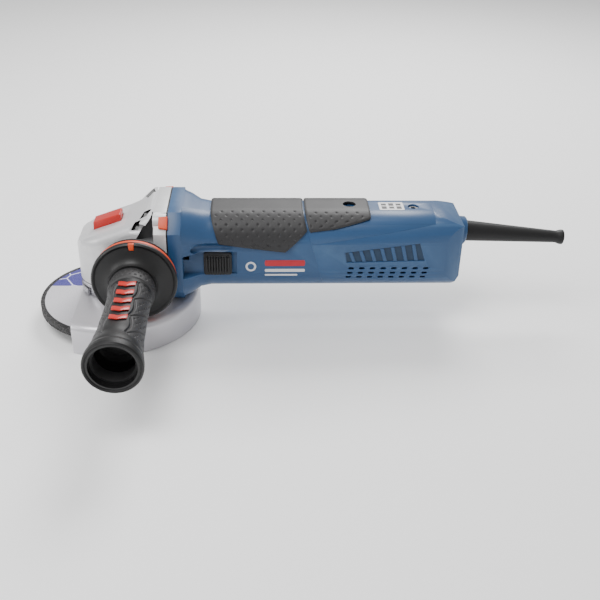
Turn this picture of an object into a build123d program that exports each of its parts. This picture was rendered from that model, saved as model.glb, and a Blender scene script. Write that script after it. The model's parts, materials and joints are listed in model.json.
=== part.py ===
"""Angle grinder for 125 mm discs, as separate pieces. Millimetres, +X towards the cord, +Z up."""

import math
import os

from build123d import *

# While modelling, the spindle axis is X = Y = 0 and the disc's upper face is Z = 0.
# keep() lifts every piece so that the origin lands on the spindle's free end.

# Disc and guard
DISC_R = 62.5
DISC_T = 6.0
DISC_BORE_R = 11.1
DISC_HUB_R = 23.0  # raised centre of the disc
DISC_HUB_LIFT = 4.5
LABEL_T = 0.25
GUARD_R = DISC_R + 6.5
GUARD_WALL = 1.6
GUARD_TOP_Z = 8.6  # upper face of the guard's plate
GUARD_DEPTH = 25.0
GUARD_EDGE_R = 6.0  # rounding between plate and skirt
GUARD_CUT_X = -27.0  # the guard is open in front of this chord
COLLAR_WALL = 1.9
BAND_T = 1.5
LEVER_T = 2.2
LEVER_START = 150  # degrees round the spindle, at the lever's pin
LEVER_SPAN = 72
LEVER_PIN_R = 1.3

# Fits
FIT = 0.05  # gap between pieces that are assembled together
RUN = 0.4  # gap between turning or sliding pieces and standing ones
SLIP = 0.06  # gap of a shaft or pin that turns in its hole

# Spindle, gears and bearings
AXIS_Z = 48.5  # height of the motor axis
SPINDLE_R = 6.0
THREAD_R = 7.0
SPINDLE_END_Z = -2.0
SPINDLE_TOP_Z = 54.0
BACKING_T = 6.0
SPINDLE_BEARING_R = 16.0
SPINDLE_BEARING_Z = 13.0
SPINDLE_BEARING_W = 10.0
BUSH_WALL = 1.5
BUSH_H = 4.6
CROWN_TEETH = 33
PINION_TEETH = 11
CROWN_R = 20.0  # pitch radius at the outer end of the teeth
FACE_WIDTH = 6.6
GEAR_ROOM_R = CROWN_R + 1.4
TOOTH_SHARE = 0.34  # tooth thickness as a share of the pitch
ADDENDUM = 0.95
DEDENDUM = 1.35
CROWN_BODY_T = 5.5
CROWN_HUB_R = 8.8  # hub that stands on the spindle bearing
LOCK_HOLES = 12
LOCK_RADIUS = 9.5
LOCK_PIN_R = 1.5
LOCK_TRAVEL = 4.0
BALLS = 8

# Gear housing
HEAD_BOTTOM_Z = 22.0
HEAD_REAR_X = 47.5
HEAD_HALF_W = 29.0
HEAD_NOSE_R = 27.5
HEAD_BLOCK_X = 38.0  # front of the rear block that carries the screws
HEAD_FLARE = 4.0  # how much wider the head is at its rear than at its middle
HEAD_EDGE_R = 7.0
POCKET_LIFT = 1.6  # floor of the lock button's pocket above the spindle's top
SCREW_SINK = 3.5
SCREW_HEAD_R = 4.1
NECK_T = 5.0
GASKET_T = 0.6
COLLAR_R = 21.5
COLLAR_BOTTOM_Z = 11.4
NECK_SCREW_R = 24.4
FLANGE_W = 76.0
FLANGE_H = 75.6
FLANGE_CHAMFER = 13.0
RING_T = 1.2  # sealing ring between the two housings
SCREW_Y = 30.0
SCREW_Z = 25.5
SCREW_R = 2.4
BEARING_LEDGE_R = 8.8
PINION_ROOM_X = 12.6
BUTTON_X = (-12.6, 9.6)
BUTTON_W = 13.0
BUTTON_FRONT_Z = 69.0  # top of the button at its front
BUTTON_RISE = 19  # degrees

# Motor housing
HOUSING_X = HEAD_REAR_X + RING_T
BLOCK_LEN = 10.0
GRIP_X = 80.0  # where the slim grip section begins
GRIP_W = 57.0
GRIP_H = 63.5
GRIP_R = 21.0
BORE_R = 24.5
FAN_ROOM_R = 26.8
SEAM_TOP_X = 154.0
SEAM_BOTTOM_X = 172.0
PAD_PROUD = 0.6
PAD_DEPTH = 1.0
PAD_GAP = 1.2  # from each pad to the seam
PAD_SIDE = 22  # height above the motor axis where the pads' ends meet the seam
BLOCK_CORNER_R = 22.5  # corners of the housing just behind its front block
SWITCH_WELL_DEPTH = 26.7  # flat floor of the switch's well, measured from the middle

# Rear shells
SHELL_WALL = 2.2
REAR_END_X = 281.0
REAR_TOP_X = 258.0  # where the top starts to fall towards the cord collar
LID_FRONT_Z = 11.0  # height of the split above the motor axis, at the seam
LID_REAR_Z = 26.0
CORD_Z = 60.5
COLLAR_OUT_R = 11.6
CORD_COLLAR_X = 287.0
BOOT_R = 8.6
BOOT_END_R = 4.9
BOOT_LIP_R = 6.1
BOOT_BORE_R = 4.1
BOOT_LEN = 84.0
BOOT_TILT = 4.3  # degrees, nose down
VENT_COLUMNS = 8
VENT_ROWS = 3
VENT_PITCH = (8.6, 4.2)
VENT_START = (192.0, -9.5)  # x, and height above the motor axis
PANEL_DEPTH = 1.2
PANEL = ((186, 4.5), (246, 12.5), (251, -3), (188, -4.5))  # x and height above the motor axis
SHELL_SCREW_X = (191.0, 243.0)
STICKER_X = 225.0
STICKER = (20.0, 15.0)

# Motor
CORE_R = BORE_R - FIT
CORE_BORE_R = 15.0
CORE_X = (84.0, 132.0)
SHAFT_R = 5.0
NOSE_R = 2.4  # thin front end of the shaft, which carries the pinion
JOURNAL_R = 4.0
COMM_R = 11.0
COMM_X = (141.0, 156.0)
FAN_R = 25.0
FAN_X = (52.0, 62.0)
FAN_BLADES = 14
FRONT_BEARING_R = 13.0
FRONT_BEARING_W = 8.0
REAR_BEARING_R = 11.0
REAR_BEARING_W = 7.0
REAR_BEARING_X = 164.0
BRUSH = (5.0, 8.0)
BRUSH_LEN = 9.0

# Slide switch
SWITCH_X = (75.0, 97.0)
SWITCH_Z = (35.0, 53.5)
SWITCH_TRAVEL = 8.0
SWITCH_RIBS = 9
SWITCH_OUT_Y = 35.2
ROD_Z = (41.4, 47.0)
FOOT_X = 89.0  # middle of the foot that joins the slider to its rod
FOOT_LEN = 8.0

# Side handle
HANDLE_X = 24.0
HANDLE_Z = 44.0
BOSS_R = 12.0
BOSS_Y = 38.6
STUD_R = 5.8
HANDLE_HOLE_R = 5.92
HANDLE_HOLE_DEPTH = 16.0
PLATE_R = 32.5
HANDLE_LEN = 134.0  # boss face to butt end
GRIP_BARREL_R = 17.0
BUTT_R = 20.3
BUTT_BORE_R = 16.2
BUTT_BORE_DEPTH = 26.0
CORE_BARREL_R = 13.8

os.makedirs("parts", exist_ok=True)


def keep(name, builder):
    """Labels a finished piece and writes it, with the origin on the spindle's free end."""
    finished = builder.part.moved(Location((0, 0, -SPINDLE_END_Z)))
    finished.label = name
    export_step(finished, f"parts/{name}.step")


def level(z):
    return Plane.XY.offset(z)


def motor_plane(x):
    """Plane across the motor axis at x, with +X as its normal and +Y as its local x."""
    return Plane(origin=(x, 0, AXIS_Z), x_dir=(0, 1, 0), z_dir=(1, 0, 0))


def handle_plane(d):
    """Plane across the handle axis, d in front of the boss face, with -Y as its normal."""
    return Plane(origin=(HANDLE_X, -BOSS_Y - d, HANDLE_Z), x_dir=(1, 0, 0), z_dir=(0, -1, 0))


def motor_ring(name, outer, inner, x0, x1):
    """Plain ring round the motor axis."""
    with BuildPart() as ring:
        with BuildSketch(motor_plane(x0)):
            Circle(outer)
            Circle(inner, mode=Mode.SUBTRACT)
        extrude(amount=x1 - x0)
    keep(name, ring)


def ball_bearing(name, plane, outer, inner, width):
    """Ball bearing as two nodes: NAME_outer with the balls, and NAME_inner."""
    third = (outer - inner) / 3
    with BuildPart() as outer_race:
        with BuildSketch(plane):
            Circle(outer - FIT)
            Circle(outer - third, mode=Mode.SUBTRACT)
        extrude(amount=width)
        with Locations(plane.offset(width / 2)):
            with PolarLocations((outer + inner) / 2, BALLS):
                Sphere(third / 2 - FIT)
    keep(name + "_outer", outer_race)
    with BuildPart() as inner_race:
        with BuildSketch(plane):
            Circle(inner + third)
            Circle(inner + FIT, mode=Mode.SUBTRACT)
        extrude(amount=width)
    keep(name + "_inner", inner_race)


# Disc, flanges and spindle


def make_disc():
    with BuildPart() as grinding_disc:
        with BuildSketch(Plane.XZ):
            with BuildLine():
                Polyline(
                    (DISC_BORE_R, DISC_HUB_LIFT),
                    (DISC_HUB_R, DISC_HUB_LIFT),
                    (DISC_HUB_R + 5, 0),
                    (DISC_R, 0),
                    (DISC_R, -DISC_T),
                    (DISC_HUB_R + 2, -DISC_T),
                    (DISC_HUB_R - 3, DISC_HUB_LIFT - DISC_T),
                    (DISC_BORE_R, DISC_HUB_LIFT - DISC_T),
                    close=True,
                )
            make_face()
        revolve(axis=Axis.Z)
    keep("grinding_disc", grinding_disc)

    with BuildPart() as disc_label:
        with BuildSketch(level(0)):
            Circle(DISC_R - 3.5)
            Circle(DISC_HUB_R + 6, mode=Mode.SUBTRACT)
        extrude(amount=LABEL_T)
    keep("disc_label", disc_label)


def make_disc_flanges():
    seat = DISC_HUB_LIFT
    with BuildPart() as backing_flange:
        with BuildSketch(level(seat)):
            Circle(DISC_HUB_R - 3)
        extrude(amount=BACKING_T)
        fillet(backing_flange.edges().sort_by(Axis.Z)[-1], 1.5)
        with BuildSketch(level(seat)):
            Circle(DISC_BORE_R - FIT)
        extrude(amount=-2.2)
        with BuildSketch(level(seat)):
            Circle(THREAD_R + FIT)
        extrude(amount=2 * BACKING_T, both=True, mode=Mode.SUBTRACT)
    keep("backing_flange", backing_flange)

    under = seat - DISC_T
    with BuildPart() as lock_nut:
        with BuildSketch(level(under)):
            Circle(DISC_HUB_R - 4)
        extrude(amount=-4.2)
        fillet(lock_nut.edges().sort_by(Axis.Z)[0], 1.0)
        with BuildSketch(level(under)):
            Circle(DISC_BORE_R - FIT)
        extrude(amount=3.0)
        with BuildSketch(level(under)):
            Circle(THREAD_R + FIT)
        extrude(amount=10, both=True, mode=Mode.SUBTRACT)
        with BuildSketch(level(under - 4.2)):
            with PolarLocations(15.0, 4):
                Circle(2.4)
        extrude(amount=3.0, mode=Mode.SUBTRACT)
    keep("lock_nut", lock_nut)


def make_spindle():
    seat = DISC_HUB_LIFT + BACKING_T
    with BuildPart() as spindle:
        with BuildSketch(Plane.XZ):
            with BuildLine():
                Polyline(
                    (0, SPINDLE_END_Z),
                    (THREAD_R - 0.8, SPINDLE_END_Z),
                    (THREAD_R, SPINDLE_END_Z + 0.8),
                    (THREAD_R, seat),
                    (9.6, seat),
                    (9.6, SPINDLE_BEARING_Z),
                    (SPINDLE_R, SPINDLE_BEARING_Z),
                    (SPINDLE_R, SPINDLE_TOP_Z - 0.5),
                    (SPINDLE_R - 0.5, SPINDLE_TOP_Z),
                    (0, SPINDLE_TOP_Z),
                    close=True,
                )
            make_face()
        revolve(axis=Axis.Z)
    keep("spindle", spindle)

    ball_bearing(
        "spindle_bearing", level(SPINDLE_BEARING_Z), SPINDLE_BEARING_R, SPINDLE_R, SPINDLE_BEARING_W
    )

    with BuildPart() as spindle_bush:
        with BuildSketch(level(SPINDLE_TOP_Z - BUSH_H)):
            Circle(SPINDLE_R + BUSH_WALL)
            Circle(SPINDLE_R + SLIP, mode=Mode.SUBTRACT)
        extrude(amount=BUSH_H)
    keep("spindle_bush", spindle_bush)


# Bevel gears


def gear_geometry():
    """Apex, contact point at the outer end, inner scale and cone directions of the pair."""
    pinion_r = CROWN_R * PINION_TEETH / CROWN_TEETH
    apex = Vector(0, 0, AXIS_Z)
    contact = Vector(CROWN_R, 0, AXIS_Z - pinion_r)
    reach = (contact - apex).length
    along = (contact - apex).normalized()
    up = Vector(-along.Z, 0, along.X)
    return pinion_r, apex, contact, (reach - FACE_WIDTH) / reach, along, up


def bevel_tooth(plane, apex, pitch_r, teeth, scale_in, overlap):
    """One straight bevel tooth, lofted from its outer end towards the apex.

    plane lies across the tooth at its outer end, with local y pointing out of the gear.
    """
    pitch = 2 * math.pi * pitch_r / teeth
    half = pitch * TOOTH_SHARE / 2
    lean = math.tan(math.radians(20))
    tip = half - ADDENDUM * lean
    root = half + DEDENDUM * lean
    inner = Plane(
        origin=apex + (plane.origin - apex) * scale_in, x_dir=plane.x_dir, z_dir=plane.z_dir
    )
    with BuildPart() as tooth:
        for where, k in ((plane, 1.0), (inner, scale_in)):
            with BuildSketch(where):
                with BuildLine():
                    Polyline(
                        (-root * k, -(DEDENDUM + overlap) * k),
                        (-tip * k, ADDENDUM * k),
                        (tip * k, ADDENDUM * k),
                        (root * k, -(DEDENDUM + overlap) * k),
                        close=True,
                    )
                make_face()
        loft()
    return tooth.part


def make_gears():
    pinion_r, apex, contact, scale_in, along, up = gear_geometry()
    outer = contact - up * DEDENDUM
    inner = apex + (outer - apex) * scale_in
    across = Plane(origin=contact, x_dir=(0, -1, 0), z_dir=-along)
    crown_teeth = bevel_tooth(across, apex, CROWN_R, CROWN_TEETH, scale_in, 0.5)
    step = 360 / CROWN_TEETH
    with BuildPart() as crown_gear:
        with BuildSketch(Plane.XZ):
            with BuildLine():
                Polyline(
                    (SPINDLE_R + FIT, SPINDLE_BEARING_Z + SPINDLE_BEARING_W),
                    (SPINDLE_R + FIT, inner.Z - 0.8),
                    (inner.X - 0.4, inner.Z - 0.8),
                    (inner.X, inner.Z),
                    (outer.X, outer.Z),
                    (outer.X, outer.Z - 3.0),
                    (13.0, outer.Z - CROWN_BODY_T),
                    (CROWN_HUB_R, outer.Z - CROWN_BODY_T),
                    (CROWN_HUB_R, SPINDLE_BEARING_Z + SPINDLE_BEARING_W),
                    close=True,
                )
            make_face()
        revolve(axis=Axis.Z)
        add([crown_teeth.rotate(Axis.Z, step * (i + 0.5)) for i in range(CROWN_TEETH)])
        with BuildSketch(level(inner.Z)):
            with PolarLocations(LOCK_RADIUS, LOCK_HOLES):
                Circle(LOCK_PIN_R + 0.3)
        extrude(amount=-20, mode=Mode.SUBTRACT)
    keep("crown_gear", crown_gear)

    outer = contact + up * DEDENDUM
    inner = apex + (outer - apex) * scale_in
    across = Plane(origin=contact, x_dir=(0, 1, 0), z_dir=-along)
    pinion_tooth = bevel_tooth(across, apex, pinion_r, PINION_TEETH, scale_in, 0.3)
    motor_axis = Axis((0, 0, AXIS_Z), (1, 0, 0))
    step = 360 / PINION_TEETH
    with BuildPart() as bevel_pinion:
        with BuildSketch(Plane.XZ):
            with BuildLine():
                Polyline(
                    (inner.X, AXIS_Z - NOSE_R - FIT),
                    (inner.X, inner.Z),
                    (outer.X, outer.Z),
                    (outer.X + 6.0, outer.Z),
                    (outer.X + 6.0, AXIS_Z - NOSE_R - FIT),
                    close=True,
                )
            make_face()
        revolve(axis=motor_axis)
        add([pinion_tooth.rotate(motor_axis, step * i) for i in range(PINION_TEETH)])
    keep("bevel_pinion", bevel_pinion)

    return inner.X, outer.X + 6.0


# Gear housing


def make_gear_housing():
    rear = HEAD_REAR_X
    top = AXIS_Z + FLANGE_H / 2
    bottom = AXIS_Z - FLANGE_H / 2
    wide = HEAD_HALF_W + HEAD_FLARE
    pocket_floor = SPINDLE_TOP_Z + POCKET_LIFT
    with BuildPart() as gear_housing:
        # Side view of the head, crossed with its plan view
        with BuildSketch(Plane.XZ):
            with BuildLine():
                Polyline(
                    (-HEAD_NOSE_R - 1, HEAD_BOTTOM_Z),
                    (-HEAD_NOSE_R - 1, AXIS_Z),
                    (-HEAD_NOSE_R + 3, 57),
                    (-11, 63.5),
                    (21, 75),
                    (34, top - 1),
                    (rear, top - 1),
                    (rear, HEAD_BOTTOM_Z),
                    close=True,
                )
            make_face()
        extrude(amount=60, both=True)
        with BuildSketch(level(0)):
            with BuildLine():
                nose = CenterArc((0, 0), HEAD_NOSE_R, 90, 180)
                Polyline(nose @ 1, (16, -HEAD_NOSE_R), (36, -wide), (rear, -wide),
                         (rear, wide), (36, wide), (16, HEAD_NOSE_R), nose @ 0)
            make_face()
        extrude(amount=120, mode=Mode.INTERSECT)
        upper = gear_housing.edges().filter_by(lambda e: e.center().Z > AXIS_Z + 12 and abs(e.center().Y) > 8)
        fillet(upper, HEAD_EDGE_R)
        # Rear block with its four screws
        with BuildSketch(motor_plane(HEAD_BLOCK_X)):
            Rectangle(FLANGE_W, FLANGE_H)
            chamfer(vertices(), FLANGE_CHAMFER)
        extrude(amount=rear - HEAD_BLOCK_X)
        # Bosses for the side handle, one on each side
        for side in (1, -1):
            with BuildSketch(Plane(origin=(HANDLE_X, 0, HANDLE_Z), x_dir=(1, 0, 0), z_dir=(0, side, 0))):
                Circle(BOSS_R)
            extrude(amount=BOSS_Y)
        # Room for the gears, the pinion, the bearings and the bush
        with BuildSketch(level(bottom - 1)):
            Circle(GEAR_ROOM_R)
        extrude(amount=SPINDLE_TOP_Z - BUSH_H - bottom + 1, mode=Mode.SUBTRACT)
        with BuildSketch(level(HEAD_BOTTOM_Z)):
            Circle(SPINDLE_R + BUSH_WALL + FIT)
        extrude(amount=SPINDLE_TOP_Z + 0.4 - HEAD_BOTTOM_Z, mode=Mode.SUBTRACT)
        for radius, start in (
            (SHAFT_R + 0.6, PINION_ROOM_X - 4.1),
            (BEARING_LEDGE_R, PINION_ROOM_X),
            (FRONT_BEARING_R, rear - FRONT_BEARING_W - 0.5),
        ):
            with BuildSketch(motor_plane(start)):
                Circle(radius)
            extrude(amount=rear - start, mode=Mode.SUBTRACT)
        # Pocket of the lock button and the hole of its pin
        with BuildSketch(level(pocket_floor)):
            with Locations((sum(BUTTON_X) / 2, 0)):
                Rectangle(BUTTON_X[1] - BUTTON_X[0] + 2 * RUN, BUTTON_W + 2 * RUN)
        extrude(amount=40, mode=Mode.SUBTRACT)
        with BuildSketch(level(HEAD_BOTTOM_Z)):
            with Locations((-LOCK_RADIUS, 0)):
                Circle(LOCK_PIN_R + SLIP)
        extrude(amount=40, mode=Mode.SUBTRACT)
        # Threaded holes of the side handle
        for side in (1, -1):
            with BuildSketch(Plane(origin=(HANDLE_X, side * BOSS_Y, HANDLE_Z), x_dir=(1, 0, 0),
                                   z_dir=(0, -side, 0))):
                Circle(HANDLE_HOLE_R)
            extrude(amount=HANDLE_HOLE_DEPTH, mode=Mode.SUBTRACT)
        # Four screws to the motor housing, each sunk in the block's front face
        for radius, start in ((SCREW_R, HEAD_BLOCK_X - 10), (SCREW_HEAD_R + 0.3, HEAD_BLOCK_X - 30)):
            with BuildSketch(motor_plane(start)):
                with GridLocations(2 * SCREW_Y, 2 * SCREW_Z, 2, 2):
                    Circle(radius)
            end = rear if radius == SCREW_R else HEAD_BLOCK_X + SCREW_SINK
            extrude(amount=end - start, mode=Mode.SUBTRACT)
        # Blind holes of the bearing flange's screws
        with BuildSketch(level(HEAD_BOTTOM_Z)):
            with PolarLocations(NECK_SCREW_R, 4, start_angle=45):
                Circle(1.6)
        extrude(amount=9.5, mode=Mode.SUBTRACT)
    keep("gear_housing", gear_housing)

    with BuildPart() as gear_screws:
        with BuildSketch(motor_plane(HEAD_BLOCK_X + SCREW_SINK)):
            with GridLocations(2 * SCREW_Y, 2 * SCREW_Z, 2, 2):
                Circle(SCREW_R - 0.2)
        extrude(amount=rear + RING_T + 6 - HEAD_BLOCK_X - SCREW_SINK)
        with BuildSketch(motor_plane(HEAD_BLOCK_X + SCREW_SINK)):
            with GridLocations(2 * SCREW_Y, 2 * SCREW_Z, 2, 2):
                Circle(SCREW_HEAD_R)
        extrude(amount=-3.2)
        with BuildSketch(motor_plane(HEAD_BLOCK_X + 0.3)):
            with GridLocations(2 * SCREW_Y, 2 * SCREW_Z, 2, 2):
                RegularPolygon(2.1, 6)
        extrude(amount=1.8, mode=Mode.SUBTRACT)
    keep("gear_screws", gear_screws)


def make_lock():
    floor = SPINDLE_TOP_Z + POCKET_LIFT
    base = floor + LOCK_TRAVEL + 0.2
    x0, x1 = BUTTON_X
    front_top = BUTTON_FRONT_Z
    rear_top = front_top + (x1 - x0) * math.tan(math.radians(BUTTON_RISE))
    with BuildPart() as lock_button:
        with BuildSketch(Plane.XZ):
            with BuildLine():
                Polyline((x0, base), (x0, front_top), (x1, rear_top), (x1, base), close=True)
            make_face()
        extrude(amount=BUTTON_W / 2, both=True)
        fillet(lock_button.edges().group_by(Axis.Z)[-1], 1.4)
        crest = lock_button.edges().filter_by(lambda e: e.center().Z > front_top - 0.5)
        fillet(crest.filter_by(lambda e: abs(e.center().Y) > BUTTON_W / 2 - 1), 1.0)
        with BuildSketch(level(base)):
            with Locations((-LOCK_RADIUS, 0)):
                Circle(LOCK_PIN_R + FIT)
        extrude(amount=5.0, mode=Mode.SUBTRACT)
    keep("lock_button", lock_button)

    pinion_r, apex, contact, scale_in, along, up = gear_geometry()
    web = (apex + (contact - up * DEDENDUM - apex) * scale_in).Z - 0.8
    with BuildPart() as lock_pin:
        with BuildSketch(level(web + 0.7)):
            with Locations((-LOCK_RADIUS, 0)):
                Circle(LOCK_PIN_R)
        extrude(amount=base + 5.0 - web - 0.7)
        chamfer(lock_pin.edges().sort_by(Axis.Z)[0], 0.4)
    keep("lock_pin", lock_pin)

    with BuildPart() as lock_spring:
        with BuildSketch(level(floor)):
            with Locations((-LOCK_RADIUS, 0)):
                Circle(LOCK_PIN_R + 1.1)
                Circle(LOCK_PIN_R + 0.3, mode=Mode.SUBTRACT)
        extrude(amount=base - floor)
    keep("lock_spring", lock_spring)


def make_bearing_flange():
    top = SPINDLE_BEARING_Z + SPINDLE_BEARING_W + 1.5
    with BuildPart() as bearing_flange:
        with BuildSketch(level(HEAD_BOTTOM_Z - NECK_T)):
            Circle(HEAD_NOSE_R - 0.4)
        extrude(amount=NECK_T - GASKET_T)
        chamfer(bearing_flange.edges().sort_by(Axis.Z)[0], 0.8)
        with BuildSketch(level(COLLAR_BOTTOM_Z)):
            Circle(COLLAR_R)
        extrude(amount=HEAD_BOTTOM_Z - NECK_T - COLLAR_BOTTOM_Z)
        with BuildSketch(level(HEAD_BOTTOM_Z - GASKET_T)):
            Circle(GEAR_ROOM_R - FIT)
        extrude(amount=top - HEAD_BOTTOM_Z + GASKET_T)
        with BuildSketch(level(SPINDLE_BEARING_Z)):
            Circle(SPINDLE_BEARING_R)
        extrude(amount=20, mode=Mode.SUBTRACT)
        with BuildSketch(level(COLLAR_BOTTOM_Z)):
            Circle(9.6 + RUN)
        extrude(amount=20, mode=Mode.SUBTRACT)
        for radius, depth in ((1.7, NECK_T), (2.7, 2.6)):
            with BuildSketch(level(HEAD_BOTTOM_Z - NECK_T)):
                with PolarLocations(NECK_SCREW_R, 4, start_angle=45):
                    Circle(radius)
            extrude(amount=depth, mode=Mode.SUBTRACT)
    keep("bearing_flange", bearing_flange)

    with BuildPart() as neck_gasket:
        with BuildSketch(level(HEAD_BOTTOM_Z - GASKET_T)):
            Circle(HEAD_NOSE_R + 0.1)
            Circle(GEAR_ROOM_R, mode=Mode.SUBTRACT)
            with PolarLocations(NECK_SCREW_R, 4, start_angle=45):
                Circle(1.7, mode=Mode.SUBTRACT)
        extrude(amount=GASKET_T)
    keep("neck_gasket", neck_gasket)

    with BuildPart() as neck_screws:
        with BuildSketch(level(HEAD_BOTTOM_Z - NECK_T + 2.6)):
            with PolarLocations(NECK_SCREW_R, 4, start_angle=45):
                Circle(1.5)
        extrude(amount=10.5)
        with BuildSketch(level(HEAD_BOTTOM_Z - NECK_T + 0.4)):
            with PolarLocations(NECK_SCREW_R, 4, start_angle=45):
                Circle(2.6)
                RegularPolygon(1.3, 6, mode=Mode.SUBTRACT)
        extrude(amount=2.2)
    keep("neck_screws", neck_screws)


# Guard


def make_guard():
    plate_in = COLLAR_R + RUN / 2 + COLLAR_WALL
    low = GUARD_TOP_Z - GUARD_DEPTH
    shoulder = GUARD_TOP_Z - GUARD_EDGE_R
    inner_edge = GUARD_EDGE_R - GUARD_WALL
    with BuildPart() as guard:
        with BuildSketch(Plane.XZ):
            with BuildLine():
                Polyline((plate_in, GUARD_TOP_Z), (GUARD_R - GUARD_EDGE_R, GUARD_TOP_Z))
                RadiusArc((GUARD_R - GUARD_EDGE_R, GUARD_TOP_Z), (GUARD_R, shoulder), GUARD_EDGE_R)
                Polyline((GUARD_R, shoulder), (GUARD_R, low), (GUARD_R - GUARD_WALL, low),
                         (GUARD_R - GUARD_WALL, shoulder))
                RadiusArc((GUARD_R - GUARD_WALL, shoulder),
                          (GUARD_R - GUARD_EDGE_R, GUARD_TOP_Z - GUARD_WALL), -inner_edge)
                Polyline((GUARD_R - GUARD_EDGE_R, GUARD_TOP_Z - GUARD_WALL),
                         (plate_in, GUARD_TOP_Z - GUARD_WALL), (plate_in, GUARD_TOP_Z))
            make_face()
        revolve(axis=Axis.Z)
        with BuildSketch(level(low - 1)):
            with Locations((GUARD_CUT_X - GUARD_R, 0)):
                Rectangle(2 * GUARD_R, 2 * GUARD_R + 10)
        extrude(amount=GUARD_DEPTH + 2, mode=Mode.SUBTRACT)
    keep("guard", guard)

    ring_in = COLLAR_R + RUN / 2
    ring_top = HEAD_BOTTOM_Z - NECK_T - RUN
    with BuildPart() as guard_collar:
        with BuildSketch(level(GUARD_TOP_Z - GUARD_WALL)):
            Circle(ring_in + COLLAR_WALL)
            Circle(ring_in, mode=Mode.SUBTRACT)
        extrude(amount=ring_top - GUARD_TOP_Z + GUARD_WALL)
    keep("guard_collar", guard_collar)

    band_in = ring_in + COLLAR_WALL + FIT
    band_z = GUARD_TOP_Z + 0.9
    band_h = ring_top - band_z - 0.8
    with BuildPart() as clamp_band:
        with BuildSketch(level(band_z)):
            Circle(band_in + BAND_T)
            with Locations((0, band_in + 3)):
                Rectangle(7, 10)
            Circle(band_in, mode=Mode.SUBTRACT)
            with Locations((0, band_in + 3)):
                Rectangle(1.6, 14, mode=Mode.SUBTRACT)
        extrude(amount=band_h)
        with BuildSketch(Plane.YZ.offset(-5)):
            with Locations((band_in + 5, band_z + band_h / 2)):
                Circle(1.4)
        extrude(amount=10, mode=Mode.SUBTRACT)
    keep("clamp_band", clamp_band)

    with BuildPart() as clamp_screw:
        with BuildSketch(Plane.YZ.offset(-3.5)):
            with Locations((band_in + 5, band_z + band_h / 2)):
                Circle(1.35)
        extrude(amount=8.5)
        for x in (-6.0, 3.5):
            with BuildSketch(Plane.YZ.offset(x)):
                with Locations((band_in + 5, band_z + band_h / 2)):
                    RegularPolygon(2.5, 6)
            extrude(amount=2.5)
    keep("clamp_screw", clamp_screw)

    # Lever at the front of the band, turning on a pin that stands beside it
    arm_in = band_in + BAND_T + 0.3
    arm_out = arm_in + LEVER_T
    lever_end = LEVER_START + LEVER_SPAN
    with BuildPart() as guard_lever:
        with BuildSketch(level(band_z + 0.4)):
            with BuildLine():
                CenterArc((0, 0), arm_in, LEVER_START, LEVER_SPAN)
                CenterArc((0, 0), arm_out, LEVER_START, LEVER_SPAN)
                Line(round_spindle(arm_in, LEVER_START), round_spindle(arm_out, LEVER_START))
                Line(round_spindle(arm_in, lever_end), round_spindle(arm_out, lever_end))
            make_face()
            with Locations(round_spindle(arm_in + 2.7, LEVER_START)):
                Circle(LEVER_PIN_R + 1.3)
                Circle(LEVER_PIN_R + SLIP, mode=Mode.SUBTRACT)
        extrude(amount=band_h - 0.8)
    keep("guard_lever", guard_lever)

    with BuildPart() as lever_pivot:
        with BuildSketch(level(GUARD_TOP_Z)):
            with Locations(round_spindle(arm_in + 2.7, LEVER_START)):
                Circle(LEVER_PIN_R)
        extrude(amount=ring_top - GUARD_TOP_Z)
    keep("lever_pivot", lever_pivot)


def round_spindle(radius, angle):
    """Point at a radius and an angle in degrees round the spindle."""
    return (radius * math.cos(math.radians(angle)), radius * math.sin(math.radians(angle)))


# Motor housing, rear shells and pads


def grip_section(plane, grow):
    """Rounded section shared by the grip and the rear shells, grown by a distance."""
    with BuildSketch(plane) as section:
        RectangleRounded(GRIP_W + 2 * grow, GRIP_H + 2 * grow, GRIP_R + grow)
    return section.sketch


def seam_x(z):
    """X of the slanted seam at a height above the motor axis."""
    share = z / GRIP_H + 0.5
    return SEAM_BOTTOM_X + (SEAM_TOP_X - SEAM_BOTTOM_X) * share


def side_wedge(points, half_width):
    """Prism across the tool from a side outline, with heights above the motor axis."""
    with BuildPart(mode=Mode.PRIVATE) as wedge:
        with BuildSketch(Plane.XZ):
            with BuildLine():
                Polyline(*[(x, z + AXIS_Z) for x, z in points], close=True)
            make_face()
        extrude(amount=half_width, both=True)
    return wedge.part


def pad_wedge(front):
    """Side outline that a grip pad covers, in front of or behind the seam."""
    if front:
        points = [(81, 40), (81, 31), (87, 13.5), (139, 6.4), (seam_x(24) - PAD_GAP, PAD_SIDE),
                  (seam_x(40) - PAD_GAP, 40)]
    else:
        side_x = seam_x(PAD_SIDE)
        points = [(seam_x(40) + PAD_GAP, 40), (side_x + PAD_GAP, PAD_SIDE), (side_x + 22, PAD_SIDE + 2),
                  (206, 29), (206, 40)]
    return side_wedge(points, 50)


def pad_skin(out, depth, x0, x1):
    """Band that lies between the grip section grown by out and shrunk by depth."""
    with BuildPart(mode=Mode.PRIVATE) as skin:
        extrude(grip_section(motor_plane(x0), out), amount=x1 - x0)
        extrude(grip_section(motor_plane(x0), -depth), amount=x1 - x0, mode=Mode.SUBTRACT)
    return skin.part


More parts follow.
